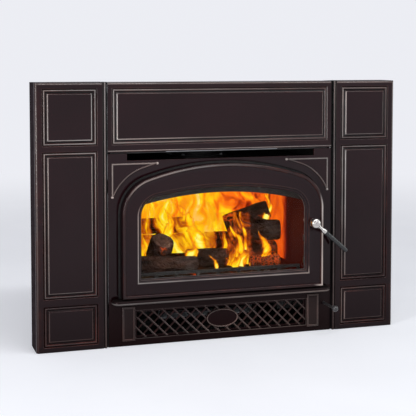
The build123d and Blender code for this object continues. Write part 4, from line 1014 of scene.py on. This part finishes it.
def lower_casting():
    """The plate around the grille, and the two raised panels."""
    work = Casting()
    # Thin marks below zero paint shade on the plate's edge and round the opening; fourth entries are painted
    # highlights.
    outer = [(0, plate_back, -0.5), (0, middle_face + 1, -0.5)]
    outer += [(0.3, middle_face + 0.3, -0.5), (1, middle_face, -0.5)]
    lines = work.lines(drawn_in(-middle_half, middle_half, 0.0, lip_bottom), outer)
    rim = [(-2.6, 0, -0.5), (-1.5, 0.2, 0.4, 0.1), (-0.5, 0.9, 0.4, 0.2), (0, 2.2), (0, 8, PAINTED_SHADE)]
    lines += work.lines(drawn_in(*grille_hole, middle_face), rim)
    work.skin(lines + [lines[0]])
    pilaster = [
        (0, 0.4, 0.2), (0, -2, 0.5), (0.5, -3.6, 0.8, 0.05), (1.7, -4.7, 0.6, 0.2), (3.2, -5, 0.3, 0.05),
        (4.8, -4.9, 0.3, 0.1), (5.8, -4.2, 0.8, 0.2), (6.6, -3.4, 0.3), (8, -3.2, 0, 0.03),
    ]
    for side in (-1, 1):
        ends = sorted(side * x for x in pilaster_x)
        lines = work.lines(drawn_in(*ends, *pilaster_z, middle_face), pilaster)
        work.skin(lines)
        work.cap(lines[-1])
        work.cap(lines[0])
    make_piece("lower_casting", work, low_shaded_enamel, stands_for=["lower_front"])


lower_casting()

# %% [markdown]
# ## The grille
# The grille is a lattice of slim bars at 45 degrees behind the opening, with a blank oval in the middle.
# Cutting diamonds from a plate would leave flat bars, but the real ones are rounded in front, so each bar is
# laid on its own, one set a touch in front of the other, and cut where it passes behind the rim.

# %% Lay the bars
grille_mid = (grille_hole[2] + grille_hole[3]) / 2
bar_pitch, bar_width = 33.3, 5.2
reach_x, reach_z = 279.0, 45.5


def add_bar(work, start, stop, front, back, painted_highlight):
    """A straight bar with a rounded front, between two points in x and z."""
    along = (Vector(stop) - Vector(start)).normalized()
    half = bar_width / 2
    flank = [(half * 0.45, front + 0.15), (half * 0.86, front + 0.9), (half, front + 2.2), (half, back)]
    section = [(-side, y) for side, y in flank[::-1]] + flank
    ends = [[(x - along.y * side, y, z + along.x * side) for side, y in section] for x, z in (start, stop)]
    work.skin([work.line(ring, 0.3, painted_highlight) for ring in ends], capped=True)


def lattice():
    """All bars of the lattice and the flange that carries them."""
    work = Casting()
    # The bars that fall to the right get a stronger painted highlight.
    for lean, front, painted_highlight in ((-1, plate_back - 0.6, 0.12), (1, plate_back + 0.6, 0.03)):
        for middle in (bar_pitch * (k + 0.5) for k in range(-12, 13)):
            low, high = sorted(middle + lean * rise for rise in (-reach_z, reach_z))
            if high < -reach_x or low > reach_x:
                continue
            held = [max(-reach_x, min(reach_x, x)) for x in (low, high)]
            start, stop = [(x, grille_mid + lean * (x - middle)) for x in held]
            add_bar(work, start, stop, front, plate_back + 6.0, painted_highlight)
    flange = [(-11, 6), (-11, 0.6), (4, 0.6), (6, 1.6), (6, 6)]
    lines = work.lines(drawn_in(*grille_hole, plate_back), flange)
    work.skin(lines + [lines[0]])
    make_piece("lattice", work, low_shaded_enamel, stands_for=["grille"])


lattice()


# %% The blank oval
oval_wide, oval_tall = 51, 28.5


def oval_line(inset, deep):
    """The oval drawn in by an amount, at a depth from the grille's front."""
    wide, tall = oval_wide - inset, oval_tall - inset
    return [(wide * math.cos(t), plate_back + deep, grille_mid + tall * math.sin(t)) for t in circle(72)]


def blank_oval():
    """The raised rim and the bare field inside it."""
    work = Casting()
    # Fourth entries are painted highlights.
    steps = [
        (0, 6), (0, -1.6, 0.3), (0.5, -3, 0.9), (1.5, -3.9, 0.8, 0.25), (2.8, -3.9, 0.8, 0.2),
        (3.8, -3.1, 1, 0.2), (4.4, -2.1, 0.3), (5.6, -1.7), (9, -1.8), (16, -2.1),
    ]
    lines = work.lines(oval_line, steps)
    work.skin(lines)
    work.cap(lines[-1])
    work.cap(lines[0])
    make_piece("blank_oval", work, low_shaded_enamel)


blank_oval()

# %% [markdown]
# ## Turned pieces
# The hub, its neck, the flared socket, the grip and the ball knob all come off a lathe. Each is a profile of
# radius against length, spun round its own axis. The handle's axis leans down across the door, so the lathe
# takes any axis.

# %% A lathe
def add_turned(work, profile, centre, axis, thin=0.0, sides=36):
    """Spins (radius, length) pairs round an axis through centre."""
    axis = Vector(axis).normalized()
    first = axis.orthogonal().normalized()
    second = axis.cross(first)
    lines = []
    for radius, length in profile:
        base, radius = Vector(centre) + axis * length, max(radius, 0.02)
        ring = [base + (first * math.cos(t) + second * math.sin(t)) * radius for t in circle(sides)]
        lines.append(work.line(ring, thin))
    work.skin(lines, capped=True)


hub_front = face_of("handle_hub")[0][1]
latch_x, latch_z = 282.0, 350.0
hub_at = (latch_x, hub_front + 26.0, latch_z)
arm_at = (latch_x, hub_front + 13.0, latch_z)
handle_lean = math.radians(-41.0)
handle_way = (math.cos(handle_lean), 0.0, math.sin(handle_lean))
print("handle turns at", hub_at)


# %% Build the hub and the socket
def handle_metal():
    """The plated hub with its dome, and the neck and socket of the arm."""
    work = Casting()
    dome = [
        (0, -26), (3, -25.9), (5.6, -25.4), (6.8, -24.8), (7.2, -24.2), (7.8, -24.2), (10.2, -23.6),
        (12.6, -22.2), (14.2, -20.2), (15.1, -17.8), (15.5, -15), (15.5, -9), (15, -8.4), (15, -7.6),
        (15.5, -7), (15.3, -5), (14.2, -3), (12.4, -1.6), (10.8, -0.8), (10.4, 0), (9.2, 0.6), (9, 1.4),
        (9, 3.4), (9.8, 4), (10.4, 4.8), (9.8, 5.6), (9, 6.2), (9, 8.9), (5, 8.9),
    ]
    arm = [
        (4.6, 8), (5, 14.6), (6.6, 15), (7.2, 16.2), (6.6, 17.4), (5.2, 18), (4.6, 19.2), (4.3, 22),
        (4.3, 27), (4.9, 29.6), (6.2, 32.4), (7.6, 34.6), (8.4, 36.6), (8.5, 38.6), (8, 39.8), (7.7, 41),
        (8.1, 42.2), (8.3, 43.2), (7.9, 44), (6, 44.2),
    ]
    add_turned(work, dome, hub_at, outwards, sides=48)
    add_turned(work, arm, arm_at, handle_way)
    make_piece("handle_metal", work, nickel, "latch", ["handle_hub"], crease=40)


handle_metal()


# %% Build the grip, the boss and the knob
knob_x, knob_z, knob_radius = 334.0, 88.0, 10.0


def handle_grip():
    """The black grip, slightly fuller in its middle."""
    work = Casting()
    profile = [(5, 44), (6.2, 44.1), (6.6, 44.8), (6.8, 50), (7, 64), (7, 100), (6.9, 122), (6.7, 132)]
    profile += [(6.3, 136.4), (5.2, 138.8), (3.4, 139.8), (0, 140)]
    add_turned(work, profile, arm_at, handle_way)
    make_piece("grip", work, grip_black, "latch", ["handle_grip"], crease=50)


def latch_boss():
    """The raised ring on the door round the shaft."""
    work = Casting()
    profile = [(5.2, 1), (14, 1), (14, -1.6), (13.4, -2.6), (12.2, -3), (9.6, -3), (9.2, -2.8), (5.2, -2.8)]
    add_turned(work, profile, (latch_x, door_face, latch_z), outwards, thin=0.3, sides=40)
    make_piece("latch_boss", work, enamel, "door")


def draught_knob():
    """The ball knob of the air control."""
    work = Casting()
    turns = [math.pi * k / 18 for k in range(1, 15)]
    profile = [(0, -knob_radius)] + [(knob_radius * math.sin(t), -knob_radius * math.cos(t)) for t in turns]
    profile += [(5.6, 8.6), (5.5, 10), (5.5, 12.4), (6.4, 12.8), (6.4, 14.6), (5.6, 15.2), (5, 16), (4, 16)]
    add_turned(work, profile, (knob_x, face_of("air_knob")[0][1] + knob_radius, knob_z), outwards)
    make_piece("draught_knob", work, knob_grey, "air_control", ["air_knob"], crease=40)


handle_grip()
latch_boss()
draught_knob()

# %% [markdown]
# ## Logs
# A log is a tube of rings that noise pushes in and out: long low waves for the trunk, short ones for the
# bark. Its sawn ends are discs with a slight hollow. Seeds are fixed, so the stack is the same each time.
# Each log lies on the axis of the solid that it stands for.

# %% Shape a log
bark_waves = ((0.9, 0.10), (3.1, 0.055), (8.0, 0.03))
ring_step, log_sides = 7, 44


def add_log(work, start, stop, radius, seed, flat, sawn):
    """One log between two points; flat makes one side of it split, and sawn says how fresh its ends are."""
    along = (stop - start).normalized()
    first = Vector((0, 0, 1)).cross(along).normalized()
    second = along.cross(first)
    length = (stop - start).length
    rings = max(12, int(length / ring_step))
    lines = []
    for t in (i / rings for i in range(rings + 1)):
        taper = 1.0 - 0.10 * max(0.0, 1 - min(t, 1 - t) * length / 9.0) ** 2
        ring = []
        for k, turn in enumerate(circle(log_sides)):
            out = first * math.cos(turn) + second * math.sin(turn)
            at = Vector((out.x * 1.3 + seed * 7.1, out.y * 1.3 + t * length / 90, out.z * 1.3))
            swell = sum(noise.noise(at * rate) * share for rate, share in bark_waves)
            furrow = abs(noise.noise(Vector((k * 0.55, t * length / 60 + seed, seed)))) * 0.07
            split = 1.0 - flat * max(0.0, math.cos(turn - 0.7)) ** 3
            r = radius * min(1.0, (0.97 + swell - furrow)) * taper * split
            ring.append(start + along * (length * t) + out * r)
        lines.append(work.line(ring))
    work.skin(lines)
    for line, tip, way in ((lines[0], start, 1), (lines[-1], stop, -1)):
        rim = [tip + (Vector(work.points[i]) - tip) * 0.86 - along * way * 0.5 for i in line]
        inner = work.line(rim, sawn)
        work.skin([line, inner])
        work.fan(inner, tip + along * way * 2.0, sawn)


print("bark waves, as rate and share:", bark_waves)


# %% Stack the logs
hearth = Vector((0, -40.0, 192.0))
log_places = [
    ("log_low_left", "logs_front", (-250, 31, 35), (-62, 23, 27), 27, 0.0, 0.1, cold_log),
    ("log_left", "logs_front", (-172, 113.5, 22.3), (-160, 63.5, 99.3), 40, 0.0, 1.0, charred),
    ("log_middle", "logs_front", (-72, 105, 32), (60, 85, 33), 32, 0.2, 0.4, charred),
    ("log_ember", "logs_front", (120, 45, 22), (215, 31, 22), 22, 0.2, 0.0, live_log),
    ("log_right_low", "logs_rear", (66, 133, 36.1), (242, 149, 36.1), 36, 0.2, 0.0, live_log),
    ("log_right", "logs_rear", (92, 133, 107.1), (244, 103.3, 111.1), 35, 0.0, 0.1, cold_log),
    ("log_rear_low", "logs_rear", (-210, 236, 46.1), (215, 246, 46.1), 46, 0.0, 0.0, charred),
    ("log_rear_high", "logs_rear", (-190, 236.3, 119.2), (-30, 240.3, 119.2), 27, 0.1, 0.2, charred),
    ("log_slanting", "logs_rear", (96, 216, 116.9), (232, 171, 168.9), 33, 0.15, 0.2, charred),
]
for seed, (name, node, start, stop, radius, flat, sawn, finish) in enumerate(log_places, start=3):
    work = Casting()
    add_log(work, Vector(start) + hearth, Vector(stop) + hearth, radius, seed, flat, sawn)
    make_piece(name, work, finish, stands_for=[node], crease=60)

# %% [markdown]
# ## The bed of coals
# Under the logs lies a heap of ash and coals. A fine grid over the bed's plan is lifted by cell noise, which
# makes lumps with sharp valleys, and it falls away towards its edges. The glow in the finish follows its own
# clouds.

# %% Build the bed
bed_columns, bed_rows = 150, 70
bed_edge, lump_size = 26.0, 17.0


def coal_bed():
    """The lumpy bed of ash and coals."""
    work = Casting()
    low, high = face_of("ember_bed")
    rows = []
    for y in (low[1] + (high[1] - low[1]) * j / bed_rows for j in range(bed_rows + 1)):
        row = []
        for x in (low[0] + (high[0] - low[0]) * i / bed_columns for i in range(bed_columns + 1)):
            edge = min(x - low[0], high[0] - x, y - low[1], high[1] - y) / bed_edge
            lump = noise.cell_vector(Vector((x / lump_size, y / lump_size, 3.0))).x
            rise = 0.72 + 0.16 * noise.noise(Vector((x / 40, y / 40, 1.0))) + 0.10 * lump
            rise += 0.08 * noise.noise(Vector((x / 9, y / 9, 5.0)))
            fall = math.sin(min(1.0, max(0.0, edge)) * math.pi / 2) ** 0.7
            row.append((x, y, low[2] + (high[2] - low[2]) * max(0.02, min(1.0, rise * fall))))
        rows.append(work.line(row))
    work.skin(rows, closed=False)
    make_piece("coal_bed", work, coals, stands_for=["ember_bed"], crease=40)


coal_bed()

# %% [markdown]
# ## Flames
# Flames are light, not matter, so they are sheets that only glow. Broad sheets stand behind and between the
# logs, and slim curled tongues between and in front of them. The broad sheet at the back is partly flame and
# partly a painted glow that stands for the firelit back wall. The finish turns one number, the heat, into
# colour and cover: stretched noise, less where a sheet rises and less towards its sides. Hot parts are yellow
# and solid, cool ones red and clear.

# %% Flame finish
hot_stops = [
    (0.30, (0.30, 0.020, 0.003)), (0.42, (0.75, 0.080, 0.004)), (0.54, (1.0, 0.20, 0.004)),
    (0.66, (1.0, 0.38, 0.004)), (0.80, (1.0, 0.58, 0.004)), (0.92, (1.0, 0.72, 0.012)),
    (1.0, (1.0, 0.88, 0.20)),
]


def flame_finish(name, seed, cover, rise_drop, side_drop, stretch, contrast, glow=1.1, cut=(0.3, 0.8)):
    """Glowing gas; cover lifts the heat everywhere, the drops lower it towards the tip and the sides."""
    material = bpy.data.materials.new(name)
    material.use_nodes = True
    tree = material.node_tree
    tree.nodes.remove(tree.nodes["Principled BSDF"])
    at = add(tree, "TexCoord").outputs["Object"]
    sway = add(tree, "TexNoise", {"Vector": at, "Scale": 6.0, "Detail": 2.0}).outputs["Color"]
    shift = add(tree, "VectorMath", {0: sway, "Scale": 0.30}, operation="SCALE").outputs[0]
    moved = add(tree, "VectorMath", {0: at, 1: shift}, operation="ADD").outputs[0]
    spot = add(tree, "Mapping", {"Vector": moved, "Location": (seed, seed, 0), "Scale": stretch}).outputs[0]
    licks = {"Vector": spot, "Scale": 1.0, "Detail": 5.0, "Roughness": 0.6}
    lick = add(tree, "TexNoise", licks).outputs["Fac"]
    heat = mapped(tree, lick, low=0.5 - contrast / 2 + cover, high=0.5 + contrast / 2 + cover)
    heat = combine(tree, "ADD", heat, mapped(tree, point_mark(tree, "rise"), high=-rise_drop))
    heat = combine(tree, "ADD", heat, mapped(tree, point_mark(tree, "side"), low=-side_drop, high=0.0))
    solid = ramp(tree, heat, (cut[0], 0.0), (cut[1], 1.0))
    light = add(tree, "Emission", {"Color": ramp(tree, heat, *hot_stops), "Strength": glow}).outputs[0]
    clear = add(tree, "BsdfTransparent").outputs[0]
    mixed = add(tree, "MixShader", {0: solid, 1: clear, 2: light}).outputs[0]
    tree.links.new(mixed, tree.nodes["Material Output"].inputs["Surface"])
    return material


back_fire_and_wall_glow = flame_finish("back_fire_and_wall_glow", 3.0, 0.28, 0.0, 0.32, (34, 8, 9), 1.9, cut=(0.1, 0.3))
wall_fire = flame_finish("wall_fire", 5.0, -0.06, 0.0, 0.3, (9, 9, 4), 0.7, 1.0, (0.1, 0.3))
veil_fire = flame_finish("veil_fire", 8.0, 0.14, 0.3, 0.7, (34, 12, 8), 2.2)
rear_veil_fire = flame_finish("rear_veil_fire", 8.0, 0.27, 0.3, 0.7, (26, 12, 7), 1.9, 1.05)
tongue_fire = flame_finish("tongue_fire", 12.0, 0.50, 0.4, 0.95, (46, 14, 11), 2.0, cut=(0.3, 0.75))
print("flame nodes:", len(tongue_fire.node_tree.nodes))


# %% Points of a flame
def new_flame():
    """An empty flame, with marks for how far up and how far in each point is."""
    build = bmesh.new()
    return build, [build.verts.layers.float.new(mark) for mark in ("rise", "side")]


def flame_point(build, layers, at, rise, side):
    """A point of a flame, in metres, with its two marks."""
    vert = build.verts.new(at)
    vert[layers[0]], vert[layers[1]] = rise, side
    return vert


def join_rows(build, rows):
    """Joins neighbouring rows of points with quads."""
    for low, high in zip(rows, rows[1:]):
        for corners in zip(low, low[1:], high[1:], high):
            build.faces.new(corners)


print("flame helpers:", [helper.__name__ for helper in (new_flame, flame_point, join_rows)])


# %% Build the flame sheets
def flame_sheet(name, x0, x1, y0, y1, z0, z1, finish, seed, wave=14.0, cooler=0.0):
    """A wavy upright strip; cooler dims its last third."""
    columns, levels = max(8, int((abs(x1 - x0) + abs(y1 - y0)) / 9)), 22
    build, layers = new_flame()
    rows = []
    for v in (j / levels for j in range(levels + 1)):
        row = []
        for u in (i / columns for i in range(columns + 1)):
            sway = noise.noise(Vector((u * 3 + seed, v * 2.0, seed))) * wave * (0.3 + v)
            x = x0 + (x1 - x0) * u + noise.noise(Vector((v * 2.5, seed, u * 2))) * wave * v
            side = min(1.0, min(u, 1 - u) * 5) * (1 - cooler * between(u, 0.62, 1.0))
            y, z = y0 + (y1 - y0) * u + sway, z0 + (z1 - z0) * v
            row.append(flame_point(build, layers, (x * MM, y * MM, z * MM), v, side))
        rows.append(row)
    join_rows(build, rows)
    dress(name, mesh_of(build, name), finish)


# This broad sheet is partly flame and partly a painted glow that stands for the firelit back wall.
flame_sheet("flames_and_back_wall_glow", -284, 284, 268, 268, 194, 462, back_fire_and_wall_glow, 1.0, 4.0, cooler=1.1)
flame_sheet("flames_wall", 281, 281, 92, 264, 194, 440, wall_fire, 2.0, 3.0)
flame_sheet("flames_left", -270, -150, 110, 120, 196, 400, rear_veil_fire, 3.0)
flame_sheet("flames_middle", -205, 70, 150, 110, 230, 450, rear_veil_fire, 4.0)
flame_sheet("flames_veil", -10, 165, 40, 30, 200, 370, veil_fire, 5.0, 8.0)


# %% Shape a tongue
tongue_rows = 18


def add_tongue(build, layers, path, width, seed):
    """A curled leaf of flame along points, widest in its lower third."""
    path = [Vector(point) for point in path]
    rows = []
    for t in (j / tongue_rows for j in range(tongue_rows + 1)):
        spot = t * (len(path) - 1)
        k = min(int(spot), len(path) - 2)
        here = path[k].lerp(path[k + 1], spot - k)
        across = outwards.cross((path[k + 1] - path[k]).normalized()).normalized()
        half = width / 2 * math.sin(math.pi * min(1.0, 0.12 + 0.88 * t) ** 0.62) ** 0.8
        here.x += noise.noise(Vector((t * 3.0, seed, 0.5))) * width * 0.3 * t
        row = []
        for u in (i / 8 for i in range(9)):
            swell = math.sin(math.pi * u)
            at = here + across * half * (2 * u - 1) - Vector((0, swell * width * 0.15, 0))
            row.append(flame_point(build, layers, at * MM, t, swell))
        rows.append(row)
    join_rows(build, rows)


print("a tongue has", tongue_rows, "rows of faces")

# %% Build the tongues
tongue_paths = [
    ([(-66, 20, 212), (-56, 22, 240), (-49, 24, 268)], 34),
    ([(8, -6, 200), (2, -4, 222), (-16, 0, 244)], 20), ([(50, 0, 206), (52, 2, 216), (36, 4, 232)], 26),
    ([(88, 0, 202), (96, 4, 240), (84, 10, 290), (60, 20, 330)], 46),
    ([(170, -6, 200), (184, -4, 246), (172, 0, 280), (148, 4, 304)], 34),
    ([(200, -6, 200), (206, -4, 214), (200, 0, 228)], 18),
    ([(-236, 60, 210), (-240, 62, 250), (-228, 64, 300)], 22),
    ([(-212, 50, 214), (-208, 52, 250), (-196, 54, 280)], 18),
    ([(-20, 70, 250), (-40, 90, 300), (-60, 110, 360), (-110, 120, 420)], 60),
    ([(110, 20, 250), (112, 24, 290), (96, 30, 350)], 30),
    ([(214, 110, 330), (226, 112, 370), (214, 114, 420)], 40),
    ([(-120, 120, 290), (-100, 122, 330), (-130, 124, 380)], 46),
    ([(120, -4, 200), (132, -2, 216), (124, 0, 236)], 26),
    ([(158, -8, 198), (176, -6, 240), (162, -2, 284), (140, 2, 312)], 50),
    ([(-80, 20, 228), (-62, 20, 262), (-46, 22, 304)], 46),
    ([(206, -8, 198), (214, -6, 214), (202, -2, 238)], 26),
    ([(60, -4, 200), (84, 0, 226), (70, 6, 262)], 40),
]
build, layers = new_flame()
for seed, (path, width) in enumerate(tongue_paths):
    add_tongue(build, layers, path, width, seed * 1.7)
dress("flame_tongues", mesh_of(build, "flame_tongues"), tongue_fire)

# %% [markdown]
# ## Studio
# The enamel is a dark mirror, so the lamps matter more for what they show in the mouldings than for how much
# they light. A tall soft box on the left draws the upright highlights, a wide one above draws the level ones,
# and a weaker one on the right opens the far flanks. The fire needs no lamp, since its sheets light the
# firebox by themselves. The floor and the world are pale, and only the floor keeps the object's shadow.

# %% Lamps
def soft_box(name, at, towards, wide, tall, power, colour=(1.0, 1.0, 1.0)):
    """A rectangular lamp that faces a point."""
    lamp = bpy.data.lights.new(name, "AREA")
    lamp.shape, lamp.size, lamp.size_y = "RECTANGLE", wide, tall
    lamp.energy, lamp.color = power, colour
    holder = bpy.data.objects.new(name, lamp)
    holder.location = at
    holder.rotation_euler = (Vector(towards) - Vector(at)).to_track_quat("-Z", "Y").to_euler()
    holder.visible_camera = False
    bpy.context.scene.collection.objects.link(holder)


soft_box("left_box", (-3.2, -2.3, 1.2), (0.0, 0.0, 0.4), 0.5, 2.3, 72.0)
soft_box("top_box", (0.5, -1.8, 3.0), (0.0, -0.1, 0.5), 3.0, 0.45, 45.0)
soft_box("right_box", (3.3, -1.3, 1.2), (0.0, 0.0, 0.4), 0.4, 2.2, 26.0, (0.88, 0.96, 0.92))

# %% World
pale = (0.84, 0.85, 0.90, 1.0)


def seen_rays(tree):
    """1 for rays that show the room itself: straight, mirrored or through glass."""
    path = add(tree, "LightPath").outputs
    first = combine(tree, "MAXIMUM", path["Is Camera Ray"], path["Is Glossy Ray"])
    return combine(tree, "MAXIMUM", first, path["Is Transmission Ray"])


world = bpy.data.worlds.new("pale_room")
bpy.context.scene.world = world
world.use_nodes = True
sky = world.node_tree.nodes["Background"]
sky.inputs["Color"].default_value = pale
feed(sky, Strength=mapped(world.node_tree, seen_rays(world.node_tree), low=0.4))
print("world colour", pale[:3])


# %% Floor
floor_reach = 40.0


def floor_piece():
    """A pale round floor that fades into the world, and keeps the object's shadow."""
    material, tree, shader = new_finish("pale_floor", Roughness=0.9, Specular_IOR_Level=0.1)
    tone = cloud(tree, 3.0, 3.0, (0.79, 0.80, 0.84), (0.82, 0.83, 0.87))
    seen = seen_rays(tree)
    lit = combine(tree, "MULTIPLY", seen, 0.30)
    feed(shader, Base_Color=tone, Emission_Color=tone, Emission_Strength=lit)
    away = add(tree, "VectorMath", {0: add(tree, "TexCoord").outputs["Object"]}, operation="LENGTH")
    fade = mapped(tree, away.outputs["Value"], 0.9, 5.0, kind="SMOOTHSTEP")
    glow = add(tree, "Emission", {"Color": pale, "Strength": 1.0}).outputs[0]
    mix = {0: combine(tree, "MULTIPLY", fade, seen), 1: shader.outputs[0], 2: glow}
    tree.links.new(add(tree, "MixShader", mix).outputs[0], tree.nodes["Material Output"].inputs["Surface"])
    mesh = bpy.data.meshes.new("floor")
    rim = [(floor_reach * math.cos(t), floor_reach * math.sin(t), -0.001) for t in circle(64)]
    mesh.from_pydata(rim, [], [tuple(range(64))])
    mesh.materials.append(material)
    floor = bpy.data.objects.new("floor", mesh)
    bpy.context.scene.collection.objects.link(floor)
    print(floor.name, "laid")


floor_piece()

# %% [markdown]
# ## Camera
# The photograph was taken with a long lens from the left, a little above the top edge. The camera's place,
# turn and lens were solved from the corners of the surround, and a small shift frames the object as the
# photograph does.

# %% Camera
lens = bpy.data.cameras.new("camera")
lens.sensor_width, lens.lens, lens.shift_y = 36.0, 92.944, -0.20
camera = bpy.data.objects.new("camera", lens)
camera.location = (-1.0306, -3.172, 0.8532)
yaw, pitch = math.radians(17.68), math.radians(3.477)
camera.rotation_euler = (math.pi / 2 - pitch, 0.0, -yaw)
bpy.context.scene.collection.objects.link(camera)
bpy.context.scene.camera = camera
bpy.context.scene.view_settings.view_transform = "Standard"
print("camera at", [round(v, 3) for v in camera.location])

# %% [markdown]
